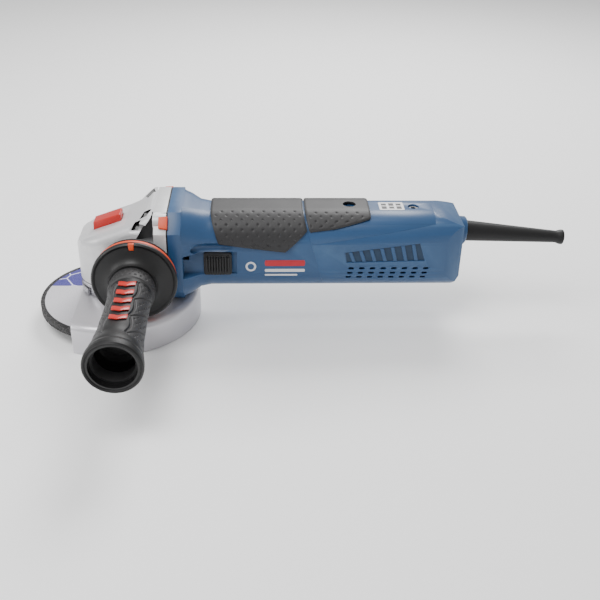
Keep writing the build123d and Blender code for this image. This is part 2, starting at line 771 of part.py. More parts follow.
def make_motor_housing():
    bolt_block = HOUSING_X + BLOCK_LEN
    room = side_wedge([(40, -60), (seam_x(-60), -60), (seam_x(60), 60), (40, 60)], 60)
    with BuildPart() as motor_housing:
        with BuildSketch(motor_plane(HOUSING_X)):
            Rectangle(FLANGE_W, FLANGE_H)
            chamfer(vertices(), FLANGE_CHAMFER)
        extrude(amount=BLOCK_LEN)
        # Three steps down from the block to the grip: place, width, height and corner at each
        steps = (
            (bolt_block, FLANGE_W, FLANGE_H, BLOCK_CORNER_R),
            (bolt_block + 6, FLANGE_W - 7, FLANGE_H - 3, BLOCK_CORNER_R),
            (bolt_block + 13, GRIP_W + 3, GRIP_H + 3, GRIP_R + 1),
            (GRIP_X, GRIP_W, GRIP_H, GRIP_R),
        )
        for front, back in zip(steps, steps[1:]):
            for x, width, height, corner in (front, back):
                with BuildSketch(motor_plane(x)):
                    RectangleRounded(width, height, corner)
            loft()
        extrude(grip_section(motor_plane(GRIP_X), 0), amount=SEAM_BOTTOM_X + 5 - GRIP_X)
        add(room, mode=Mode.INTERSECT)
        # Bore of the motor, wider at the fan
        with BuildSketch(motor_plane(HOUSING_X)):
            Circle(BORE_R)
        extrude(amount=150, mode=Mode.SUBTRACT)
        with BuildSketch(motor_plane(HOUSING_X)):
            Circle(FAN_ROOM_R)
        extrude(amount=FAN_X[1] + 1.5 - HOUSING_X, mode=Mode.SUBTRACT)
        # Seat of the front pad
        add(pad_skin(3, PAD_DEPTH + FIT, GRIP_X - 1, SEAM_BOTTOM_X + 10).intersect(pad_wedge(True)),
            mode=Mode.SUBTRACT)
        # Well and slot of the switch
        with BuildSketch(Plane.XZ.offset(SWITCH_WELL_DEPTH)):
            with Locations((80, sum(SWITCH_Z) / 2)):
                Rectangle(42, SWITCH_Z[1] - SWITCH_Z[0] + 2 * RUN)
        extrude(amount=30, mode=Mode.SUBTRACT)
        with BuildSketch(Plane.XZ.offset(22)):
            with Locations((138, sum(ROD_Z) / 2)):
                Rectangle(136, ROD_Z[1] - ROD_Z[0] + 2 * RUN)
        extrude(amount=4.4, mode=Mode.SUBTRACT)
        with BuildSketch(Plane.XZ.offset(22)):
            with Locations((FOOT_X - SWITCH_TRAVEL / 2, sum(ROD_Z) / 2)):
                Rectangle(FOOT_LEN + SWITCH_TRAVEL + 2 * RUN, ROD_Z[1] - ROD_Z[0] + 2 * RUN)
        extrude(amount=6, mode=Mode.SUBTRACT)
        # Blind holes of the four long screws
        with BuildSketch(motor_plane(HOUSING_X)):
            with GridLocations(2 * SCREW_Y, 2 * SCREW_Z, 2, 2):
                Circle(SCREW_R - 0.15)
        extrude(amount=7, mode=Mode.SUBTRACT)
    keep("motor_housing", motor_housing)

    with BuildPart() as front_grip_pad:
        add(pad_skin(PAD_PROUD, PAD_DEPTH, GRIP_X - 1, SEAM_BOTTOM_X + 10))
        add(pad_wedge(True), mode=Mode.INTERSECT)
    keep("front_grip_pad", front_grip_pad)

    with BuildPart() as sealing_ring:
        with BuildSketch(motor_plane(HEAD_REAR_X)):
            Rectangle(FLANGE_W - 0.6, FLANGE_H - 0.6)
            chamfer(vertices(), FLANGE_CHAMFER)
            Circle(20, mode=Mode.SUBTRACT)
            with GridLocations(2 * SCREW_Y, 2 * SCREW_Z, 2, 2):
                Circle(SCREW_R, mode=Mode.SUBTRACT)
        extrude(amount=RING_T)
    keep("sealing_ring", sealing_ring)
    motor_ring("bearing_plate", 19.5, SHAFT_R + 2.0, HEAD_REAR_X, HEAD_REAR_X + 1.6)


def rear_body(inset, front_gap):
    """Outer shape of the rear end, or its hollow when inset is the wall."""
    start = min(SEAM_TOP_X, SEAM_BOTTOM_X) - 10
    half = GRIP_H / 2 - inset
    end = REAR_END_X - inset
    drop = (CORD_Z - AXIS_Z) + COLLAR_OUT_R + 1 - inset
    outline = [
        (seam_x(-60) + front_gap, -60),
        (end - 7, -60),
        (end - 7, -half + 1),
        (end, -half + 12),
        (end, drop),
        (REAR_TOP_X, half),
        (REAR_TOP_X, 60),
        (seam_x(60) + front_gap, 60),
    ]
    with BuildPart(mode=Mode.PRIVATE) as body:
        extrude(grip_section(motor_plane(start), -inset), amount=REAR_END_X - start)
        add(side_wedge(outline, 60), mode=Mode.INTERSECT)
        with BuildSketch(level(0)):
            with BuildLine():
                w = GRIP_W / 2 - inset
                Polyline((start, -w), (end - 14, -w), (end, -w + 6), (end, w - 6), (end - 14, w), (start, w),
                         close=True)
            make_face()
        extrude(amount=150, mode=Mode.INTERSECT)
    return body.part


def lid_region(gap):
    """Side region of the upper rear shell, shrunk by gap along the split."""
    x0 = seam_x(LID_FRONT_Z) - 20
    slope = (LID_REAR_Z - LID_FRONT_Z) / (REAR_TOP_X - seam_x(LID_FRONT_Z))
    low = LID_FRONT_Z - 20 * slope + gap
    return side_wedge(
        [(x0, low), (REAR_TOP_X - gap, LID_REAR_Z + gap), (REAR_TOP_X - gap, 60), (x0, 60)], 60
    )


def make_rear_shells():
    boot_plane = Plane(
        origin=(REAR_END_X - 14, 0, CORD_Z), x_dir=(0, 1, 0),
        z_dir=(math.cos(math.radians(BOOT_TILT)), 0, -math.sin(math.radians(BOOT_TILT))),
    )
    with BuildPart() as rear_lower_shell:
        add(rear_body(0, FIT))
        add(rear_body(SHELL_WALL, -5), mode=Mode.SUBTRACT)
        with BuildSketch(boot_plane):
            Circle(COLLAR_OUT_R)
        extrude(amount=CORD_COLLAR_X - REAR_END_X + 14)
        chamfer(rear_lower_shell.edges().sort_by(Axis.X)[-1], 1.0)
        with BuildSketch(boot_plane):
            Circle(BOOT_R + FIT)
        extrude(amount=40, mode=Mode.SUBTRACT)
        add(lid_region(0), mode=Mode.SUBTRACT)
        # Air slots low on each side
        with BuildSketch(Plane.XZ):
            for row in range(VENT_ROWS):
                for column in range(VENT_COLUMNS):
                    x = VENT_START[0] + VENT_PITCH[0] * column - 0.9 * row
                    with Locations((x, AXIS_Z + VENT_START[1] - VENT_PITCH[1] * row)):
                        SlotOverall(4.6, 2.0)
        extrude(amount=60, both=True, mode=Mode.SUBTRACT)
        # Recessed panel above the slots
        for side in (1, -1):
            beside = (0, side * (GRIP_W / 2 + 5), 0)
            with BuildSketch(Plane(origin=beside, x_dir=(1, 0, 0), z_dir=(0, side, 0))):
                with BuildLine():
                    Polyline(*[(x, side * -(AXIS_Z + z)) for x, z in PANEL], close=True)
                make_face()
            extrude(amount=-5 - PANEL_DEPTH, mode=Mode.SUBTRACT)
    keep("rear_lower_shell", rear_lower_shell)

    seat = AXIS_Z + GRIP_H / 2
    with BuildPart() as rear_upper_shell:
        add(rear_body(0, FIT))
        add(rear_body(SHELL_WALL, -5), mode=Mode.SUBTRACT)
        add(lid_region(FIT), mode=Mode.INTERSECT)
        add(pad_skin(3, PAD_DEPTH + FIT, SEAM_TOP_X - 9, 215).intersect(pad_wedge(False)), mode=Mode.SUBTRACT)
        with BuildSketch(level(seat - SHELL_WALL)):
            with Locations(*[(x, 0) for x in SHELL_SCREW_X]):
                Circle(5.6)
        extrude(amount=-12)
        for radius, depth in ((4.4, 4.0), (1.9, 20)):
            with BuildSketch(level(seat + 1)):
                with Locations(*[(x, 0) for x in SHELL_SCREW_X]):
                    Circle(radius)
            extrude(amount=-depth - 1, mode=Mode.SUBTRACT)
    keep("rear_upper_shell", rear_upper_shell)

    with BuildPart() as rear_grip_pad:
        add(pad_skin(PAD_PROUD, PAD_DEPTH, SEAM_TOP_X - 9, 215))
        add(pad_wedge(False), mode=Mode.INTERSECT)
        with BuildSketch(level(seat - 5)):
            with Locations((SHELL_SCREW_X[0], 0)):
                Circle(5.2)
        extrude(amount=10, mode=Mode.SUBTRACT)
    keep("rear_grip_pad", rear_grip_pad)

    with BuildPart() as shell_screws:
        with BuildSketch(level(seat - 4)):
            with Locations(*[(x, 0) for x in SHELL_SCREW_X]):
                Circle(4.1)
        extrude(amount=2.6)
        with BuildSketch(level(seat - 1.4)):
            with Locations(*[(x, 0) for x in SHELL_SCREW_X]):
                RegularPolygon(2.2, 6)
        extrude(amount=-1.8, mode=Mode.SUBTRACT)
        with BuildSketch(level(seat - 4)):
            with Locations(*[(x, 0) for x in SHELL_SCREW_X]):
                Circle(1.8)
        extrude(amount=-10)
    keep("shell_screws", shell_screws)

    with BuildPart() as rating_sticker:
        with BuildSketch(level(seat + FIT)):
            with Locations((STICKER_X, 0)):
                RectangleRounded(*STICKER, 1.2)
        extrude(amount=0.25)
    keep("rating_sticker", rating_sticker)

    with BuildPart() as cord_boot:
        with BuildSketch(boot_plane):
            Circle(BOOT_R)
        extrude(amount=CORD_COLLAR_X - REAR_END_X + 13)
        start = boot_plane.offset(CORD_COLLAR_X - REAR_END_X + 13)
        end = start.offset(BOOT_LEN - 6)
        with BuildSketch(start):
            Circle(BOOT_R)
        with BuildSketch(end):
            Circle(BOOT_END_R)
        loft()
        with BuildSketch(end):
            Circle(BOOT_END_R)
        with BuildSketch(end.offset(4)):
            Circle(BOOT_LIP_R)
        loft()
        with BuildSketch(end.offset(4)):
            Circle(BOOT_LIP_R)
        extrude(amount=2)
        with BuildSketch(boot_plane):
            Circle(BOOT_BORE_R)
        extrude(amount=BOOT_LEN + 60, mode=Mode.SUBTRACT)
    keep("cord_boot", cord_boot)


# Motor


def make_motor():
    pinion_front, pinion_rear = make_gears()
    rear = REAR_BEARING_X + REAR_BEARING_W
    with BuildPart() as armature_shaft:
        for radius, x0, x1 in (
            (NOSE_R, pinion_front - 3.6, pinion_rear),
            (SHAFT_R, pinion_rear, REAR_BEARING_X - 2),
            (JOURNAL_R, REAR_BEARING_X - 2, rear + 1),
        ):
            with BuildSketch(motor_plane(x0)):
                Circle(radius)
            extrude(amount=x1 - x0)
    keep("armature_shaft", armature_shaft)

    ball_bearing(
        "front_bearing", motor_plane(HEAD_REAR_X - FRONT_BEARING_W), FRONT_BEARING_R, SHAFT_R, FRONT_BEARING_W
    )
    ball_bearing("rear_bearing", motor_plane(REAR_BEARING_X), REAR_BEARING_R, JOURNAL_R, REAR_BEARING_W)
    with BuildPart() as bearing_bridge:
        with BuildSketch(motor_plane(REAR_BEARING_X - 1)):
            Circle(REAR_BEARING_R + 5)
            Rectangle(12, 2 * BORE_R - 3)
            Rectangle(2 * BORE_R - 4, 9)
            Circle(REAR_BEARING_R, mode=Mode.SUBTRACT)
        extrude(amount=REAR_BEARING_W + 1)
    keep("bearing_bridge", bearing_bridge)

    with BuildPart() as stator_core:
        with BuildSketch(motor_plane(CORE_X[0])):
            Circle(CORE_R)
            Circle(CORE_BORE_R, mode=Mode.SUBTRACT)
            with GridLocations(36, 0, 2, 1):
                Rectangle(4, 22, mode=Mode.SUBTRACT)
        extrude(amount=CORE_X[1] - CORE_X[0])
    keep("stator_core", stator_core)

    with BuildPart() as field_coils:
        for x0 in (CORE_X[0] - 7, CORE_X[1] + FIT):
            with BuildSketch(motor_plane(x0)):
                Circle(BORE_R - 1.5)
                Circle(CORE_BORE_R + 1, mode=Mode.SUBTRACT)
                Rectangle(5, 60, mode=Mode.SUBTRACT)
            extrude(amount=7 - FIT)
    keep("field_coils", field_coils)

    core_r = CORE_BORE_R - 0.6
    with BuildPart() as armature_core:
        with BuildSketch(motor_plane(CORE_X[0] + 1)):
            Circle(core_r)
            with PolarLocations(core_r, 12):
                Rectangle(5, 2.2, mode=Mode.SUBTRACT)
            Circle(SHAFT_R + FIT, mode=Mode.SUBTRACT)
        extrude(amount=CORE_X[1] - CORE_X[0] - 2)
    keep("armature_core", armature_core)

    with BuildPart() as armature_windings:
        for x0 in (CORE_X[0] - 5, CORE_X[1] - 1):
            with BuildSketch(motor_plane(x0)):
                Circle(core_r - 1.5)
                Circle(SHAFT_R + FIT, mode=Mode.SUBTRACT)
            extrude(amount=6)
    keep("armature_windings", armature_windings)

    with BuildPart() as commutator:
        with BuildSketch(motor_plane(COMM_X[0])):
            Circle(COMM_R)
            with PolarLocations(COMM_R, 24):
                Rectangle(1.6, 0.5, mode=Mode.SUBTRACT)
            Circle(SHAFT_R + FIT, mode=Mode.SUBTRACT)
        extrude(amount=COMM_X[1] - COMM_X[0])
    keep("commutator", commutator)

    with BuildPart() as fan:
        with BuildSketch(motor_plane(FAN_X[0])):
            Circle(FAN_R)
            Circle(SHAFT_R + FIT, mode=Mode.SUBTRACT)
        extrude(amount=2)
        with BuildSketch(motor_plane(FAN_X[0] + 2)):
            Circle(SHAFT_R + 3)
            Circle(SHAFT_R + FIT, mode=Mode.SUBTRACT)
            with PolarLocations((FAN_R + SHAFT_R) / 2 + 2, FAN_BLADES):
                Rectangle(FAN_R - SHAFT_R - 5, 1.4, rotation=25)
        extrude(amount=FAN_X[1] - FAN_X[0] - 2)
    keep("fan", fan)
    motor_ring("air_baffle", BORE_R - FIT, 18.5, FAN_X[1] + 1.6, FAN_X[1] + 4.6)

    middle = (COMM_X[0] + COMM_X[1]) / 2
    with BuildPart() as brush_holders:
        for side in (1, -1):
            start = AXIS_Z + side * (COMM_R + 1.5)
            with BuildSketch(Plane(origin=(middle, 0, start), x_dir=(1, 0, 0), z_dir=(0, 0, side))):
                Rectangle(BRUSH[1] + 3, BRUSH[0] + 3)
                Rectangle(BRUSH[1] + 2 * FIT, BRUSH[0] + 2 * FIT, mode=Mode.SUBTRACT)
            extrude(amount=BRUSH_LEN + 1.5)
    keep("brush_holders", brush_holders)

    with BuildPart() as carbon_brushes:
        for side in (1, -1):
            start = AXIS_Z + side * (COMM_R + 0.3)
            with BuildSketch(Plane(origin=(middle, 0, start), x_dir=(1, 0, 0), z_dir=(0, 0, side))):
                Rectangle(BRUSH[1], BRUSH[0])
            extrude(amount=BRUSH_LEN)
    keep("carbon_brushes", carbon_brushes)


# Switch


def make_switch():
    x0, x1 = SWITCH_X
    z0, z1 = SWITCH_Z
    base_y = SWITCH_WELL_DEPTH + 0.2
    with BuildPart() as switch_slider:
        with BuildSketch(Plane.XZ.offset(base_y)):
            with Locations(((x0 + x1) / 2, (z0 + z1) / 2)):
                RectangleRounded(x1 - x0, z1 - z0, 2)
        extrude(amount=4)
        pitch = (x1 - x0 - 3) / SWITCH_RIBS
        for i in range(SWITCH_RIBS):
            bow = math.sin(math.pi * (i + 0.5) / SWITCH_RIBS)
            with BuildSketch(Plane.XZ.offset(base_y + 4)):
                with Locations((x0 + 1.5 + pitch * (i + 0.5), (z0 + z1) / 2)):
                    Rectangle(pitch * 0.62, z1 - z0 - 4)
            extrude(amount=SWITCH_OUT_Y - base_y - 5.2 + 1.2 * bow)
        with BuildSketch(Plane.XZ.offset(base_y - 0.9)):
            with Locations((FOOT_X, sum(ROD_Z) / 2)):
                Rectangle(FOOT_LEN, ROD_Z[1] - ROD_Z[0] - 1)
        extrude(amount=1)
    keep("switch_slider", switch_slider)

    with BuildPart() as switch_rod:
        with BuildSketch(Plane.XZ.offset(24.7)):
            with Locations((135, sum(ROD_Z) / 2)):
                Rectangle(100, ROD_Z[1] - ROD_Z[0])
        extrude(amount=base_y - 0.9 - 24.7)
    keep("switch_rod", switch_rod)

    with BuildPart() as switch_module:
        with BuildSketch(level(AXIS_Z - 12)):
            with Locations((200, -11)):
                Rectangle(30, 22)
        extrude(amount=20)
        chamfer(switch_module.edges().filter_by(Axis.Z), 1.0)
    keep("switch_module", switch_module)

    with BuildPart() as electronics_module:
        with BuildSketch(level(AXIS_Z - 18)):
            with Locations((212, 12.5)):
                Rectangle(44, 20)
        extrude(amount=26)
        chamfer(electronics_module.edges().filter_by(Axis.Z), 1.0)
    keep("electronics_module", electronics_module)

    with BuildPart() as cord_clamp:
        with BuildSketch(level(CORD_Z - 12)):
            with Locations((258, 0)):
                Rectangle(9, 28)
        extrude(amount=5)
    keep("cord_clamp", cord_clamp)


# Side handle


def turned_on_handle(name, points):
    """Piece turned round the handle axis, from (radius, distance in front of the boss face) points."""
    with BuildPart() as body:
        with BuildSketch(Plane(origin=(HANDLE_X, -BOSS_Y, HANDLE_Z), x_dir=(1, 0, 0), z_dir=(0, 0, 1))):
            with BuildLine():
                Polyline(*[(r, -d) for r, d in points], close=True)
            make_face()
        revolve(axis=Axis((HANDLE_X, 0, HANDLE_Z), (0, 1, 0)))
    keep(name, body)


def make_handle():
    """Vibration-damped side handle on the left boss, with a deep hollow in its butt."""
    butt = HANDLE_LEN
    hole = STUD_R + FIT
    with BuildPart() as handle_stud:
        with BuildSketch(handle_plane(-HANDLE_HOLE_DEPTH + 1.5)):
            Circle(STUD_R)
        extrude(amount=HANDLE_HOLE_DEPTH - 1.5 + 34)
        chamfer(handle_stud.edges().sort_by(Axis.Y)[-1], 0.8)
    keep("handle_stud", handle_stud)

    turned_on_handle("handle_base", [
        (hole, 0.2), (15, 0.2), (17, 2), (29, 6), (30.5, 8), (30.5, 12), (hole, 12)])
    turned_on_handle("handle_damper", [
        (hole, 12), (31.2, 12), (31.8, 13), (31.8, 16), (31.2, 16.6), (hole, 16.6)])
    turned_on_handle("handle_flange", [
        (hole, 16.6), (31.8, 16.6), (PLATE_R, 17.6), (PLATE_R, 19.5), (31, 22), (24, 23.5), (19, 27),
        (hole, 27)])
    barrel = GRIP_BARREL_R
    sleeve = CORE_BARREL_R + FIT
    cup = BUTT_BORE_R + 1.5
    cup_start = butt - BUTT_BORE_DEPTH - 2
    turned_on_handle("handle_core", [
        (hole, 27), (CORE_BARREL_R, 27), (CORE_BARREL_R, cup_start), (cup, butt - 6), (cup, butt - 1),
        (BUTT_BORE_R, butt - 1), (BUTT_BORE_R - 3.2, cup_start + 2), (0, cup_start + 2), (0, 34), (hole, 34)])
    turned_on_handle("grip_sleeve", [
        (sleeve, 27.2), (barrel - 1, 27.2), (barrel, 29), (barrel + 0.6, 36), (barrel, 42),
        (barrel - 1.4, 43.5), (barrel - 1.2, 70), (barrel + 0.3, cup_start - 4), (barrel + 1.4, butt - 18),
        (BUTT_R - 1.0, butt - 9), (BUTT_R, butt - 5), (BUTT_R, butt - 1.5), (BUTT_R - 1.2, butt),
        (cup + FIT, butt), (cup + FIT, butt - 6), (sleeve, cup_start)])


make_disc()
make_disc_flanges()
make_spindle()
make_motor()
make_gear_housing()
make_lock()
make_bearing_flange()
make_guard()
make_motor_housing()
make_rear_shells()
make_switch()
make_handle()
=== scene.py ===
import json
import math

import bmesh
import bpy
from mathutils import Matrix, Vector

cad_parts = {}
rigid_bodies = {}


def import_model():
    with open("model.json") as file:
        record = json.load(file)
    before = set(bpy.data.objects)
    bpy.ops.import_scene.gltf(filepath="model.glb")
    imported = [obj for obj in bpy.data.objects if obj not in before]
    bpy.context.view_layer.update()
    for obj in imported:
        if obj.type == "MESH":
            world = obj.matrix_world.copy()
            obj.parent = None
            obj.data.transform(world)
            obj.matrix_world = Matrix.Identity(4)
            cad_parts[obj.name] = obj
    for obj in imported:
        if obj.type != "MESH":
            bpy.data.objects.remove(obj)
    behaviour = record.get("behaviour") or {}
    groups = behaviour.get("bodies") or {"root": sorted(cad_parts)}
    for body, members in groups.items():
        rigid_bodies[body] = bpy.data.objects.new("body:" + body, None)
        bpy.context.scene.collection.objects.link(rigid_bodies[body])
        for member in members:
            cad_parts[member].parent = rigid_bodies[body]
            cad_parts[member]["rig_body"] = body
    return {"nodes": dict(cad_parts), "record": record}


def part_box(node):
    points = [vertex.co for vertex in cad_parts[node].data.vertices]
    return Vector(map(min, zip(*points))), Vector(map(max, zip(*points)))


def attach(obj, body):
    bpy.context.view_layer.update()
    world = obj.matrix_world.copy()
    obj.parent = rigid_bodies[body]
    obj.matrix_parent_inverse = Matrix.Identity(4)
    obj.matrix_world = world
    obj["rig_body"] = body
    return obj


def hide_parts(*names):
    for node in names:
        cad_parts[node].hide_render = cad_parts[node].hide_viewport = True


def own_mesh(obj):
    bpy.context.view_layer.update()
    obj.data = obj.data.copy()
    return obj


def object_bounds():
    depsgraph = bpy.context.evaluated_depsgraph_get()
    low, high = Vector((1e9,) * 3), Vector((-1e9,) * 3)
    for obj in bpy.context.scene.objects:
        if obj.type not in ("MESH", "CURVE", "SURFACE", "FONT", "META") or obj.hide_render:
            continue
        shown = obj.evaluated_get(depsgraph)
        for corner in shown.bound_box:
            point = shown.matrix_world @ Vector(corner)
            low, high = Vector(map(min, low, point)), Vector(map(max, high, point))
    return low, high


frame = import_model()
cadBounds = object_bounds()
nodes = frame["nodes"]
mm = 0.001
print("frame loaded:", len(nodes), "nodes")

# Places read from the frame
gripCorner = 21 * mm  # corner radius of the grip's section
shellLow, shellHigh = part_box("rear_lower_shell")
boreLow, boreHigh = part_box("stator_core")
axisZ = (boreLow.z + boreHigh.z) / 2
gripHalfW = shellHigh.y
gripHalfH = axisZ - shellLow.z
flatHalf = gripHalfW - gripCorner
cornerArc = gripCorner * math.pi / 2
studLow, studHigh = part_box("handle_stud")
handleX = (studLow.x + studHigh.x) / 2
handleZ = (studLow.z + studHigh.z) / 2
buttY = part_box("grip_sleeve")[0].y


# Material groups and materials

def newGroup(name, inputs, outputs):
    group = bpy.data.node_groups.new(name, "ShaderNodeTree")
    for label, kind, value in inputs:
        socket = group.interface.new_socket(label, in_out="INPUT", socket_type=kind)
        socket.default_value = value
    for label, kind in outputs:
        group.interface.new_socket(label, in_out="OUTPUT", socket_type=kind)
    return group, group.nodes.new("NodeGroupInput"), group.nodes.new("NodeGroupOutput")


def addNode(tree, kind, **settings):
    node = tree.nodes.new(kind)
    for key, value in settings.items():
        setattr(node, key, value)
    return node


# Sets a socket to a plain value, or links another socket to it
def feed(tree, value, socket):
    if isinstance(value, (int, float)):
        socket.default_value = value
    elif isinstance(value, tuple):
        socket.default_value = (*value, 1.0) if socket.type == "RGBA" else value
    else:
        tree.links.new(value, socket)


def mathNode(tree, operation, first, second):
    node = addNode(tree, "ShaderNodeMath", operation=operation)
    feed(tree, first, node.inputs[0])
    feed(tree, second, node.inputs[1])
    return node.outputs[0]


# Texture laid over the object's own coordinates
def textureNode(tree, kind, scale, **settings):
    place = addNode(tree, "ShaderNodeTexCoord")
    node = addNode(tree, kind, **settings)
    tree.links.new(place.outputs["Object"], node.inputs["Vector"])
    feed(tree, scale, node.inputs["Scale"])
    return node


def noiseNode(tree, scale, detail):
    node = textureNode(tree, "ShaderNodeTexNoise", scale)
    node.inputs["Detail"].default_value = detail
    return node.outputs[0]


groupStyle = {"fineDetail": 3.0, "broadScale": 28.0, "broadDetail": 4.0, "edgeFrom": 0.53, "edgeTo": 0.62,
              "breakDetail": 2.0, "dustDetail": 6.0}


# Moulded or cast grain, with broad patches of shade
def buildGrainGroup():
    group, inn, out = newGroup(
        "surfaceGrain",
        (("Scale", "NodeSocketFloat", 900.0), ("Depth", "NodeSocketFloat", 0.3), ("Tint", "NodeSocketFloat", 0.1)),
        (("Height", "NodeSocketFloat"), ("Shade", "NodeSocketFloat")),
    )
    fine = noiseNode(group, inn.outputs["Scale"], groupStyle["fineDetail"])
    broad = noiseNode(group, groupStyle["broadScale"], groupStyle["broadDetail"])
    feed(group, mathNode(group, "MULTIPLY", fine, inn.outputs["Depth"]), out.inputs["Height"])
    shade = mathNode(group, "MULTIPLY", mathNode(group, "SUBTRACT", broad, 0.5), inn.outputs["Tint"])
    feed(group, mathNode(group, "ADD", shade, 1.0), out.inputs["Shade"])
    return group


# Mask of the sharp edges, broken up by noise
def buildWearGroup():
    group, inn, out = newGroup(
        "edgeWear",
        (("Amount", "NodeSocketFloat", 0.5), ("Break", "NodeSocketFloat", 160.0)),
        (("Mask", "NodeSocketFloat"),),
    )
    shape = addNode(group, "ShaderNodeNewGeometry")
    sharp = addNode(group, "ShaderNodeMapRange")
    sharp.inputs["From Min"].default_value = groupStyle["edgeFrom"]
    sharp.inputs["From Max"].default_value = groupStyle["edgeTo"]
    group.links.new(shape.outputs["Pointiness"], sharp.inputs["Value"])
    rough = noiseNode(group, inn.outputs["Break"], groupStyle["breakDetail"])
    broken = mathNode(group, "MULTIPLY", sharp.outputs[0], rough)
    feed(group, mathNode(group, "MULTIPLY", broken, inn.outputs["Amount"]), out.inputs["Mask"])
    return group


# Mask of a thin film of dust on the faces that look up
def buildDustGroup():
    group, inn, out = newGroup(
        "fineDust",
        (("Amount", "NodeSocketFloat", 0.1), ("Scale", "NodeSocketFloat", 60.0)),
        (("Mask", "NodeSocketFloat"),),
    )
    shape = addNode(group, "ShaderNodeNewGeometry")
    split = addNode(group, "ShaderNodeSeparateXYZ")
    group.links.new(shape.outputs["Normal"], split.inputs[0])
    up = mathNode(group, "MAXIMUM", split.outputs["Z"], 0.0)
    cloud = noiseNode(group, inn.outputs["Scale"], groupStyle["dustDetail"])
    film = mathNode(group, "MULTIPLY", up, cloud)
    feed(group, mathNode(group, "MULTIPLY", film, inn.outputs["Amount"]), out.inputs["Mask"])
    return group


groups = {"grain": buildGrainGroup(), "wear": buildWearGroup(), "dust": buildDustGroup()}


def groupNode(tree, name, **values):
    node = addNode(tree, "ShaderNodeGroup", node_tree=groups[name])
    for key, value in values.items():
        node.inputs[key].default_value = value
    return node


def blendColor(tree, factor, first, second):
    node = addNode(tree, "ShaderNodeMix", data_type="RGBA")
    for index, value in ((0, factor), (6, first), (7, second)):
        feed(tree, value, node.inputs[index])
    return node.outputs[2]


def scaleColor(tree, color, factor):
    node = addNode(tree, "ShaderNodeVectorMath", operation="SCALE")
    feed(tree, color, node.inputs[0])
    feed(tree, factor, node.inputs["Scale"])
    return node.outputs[0]


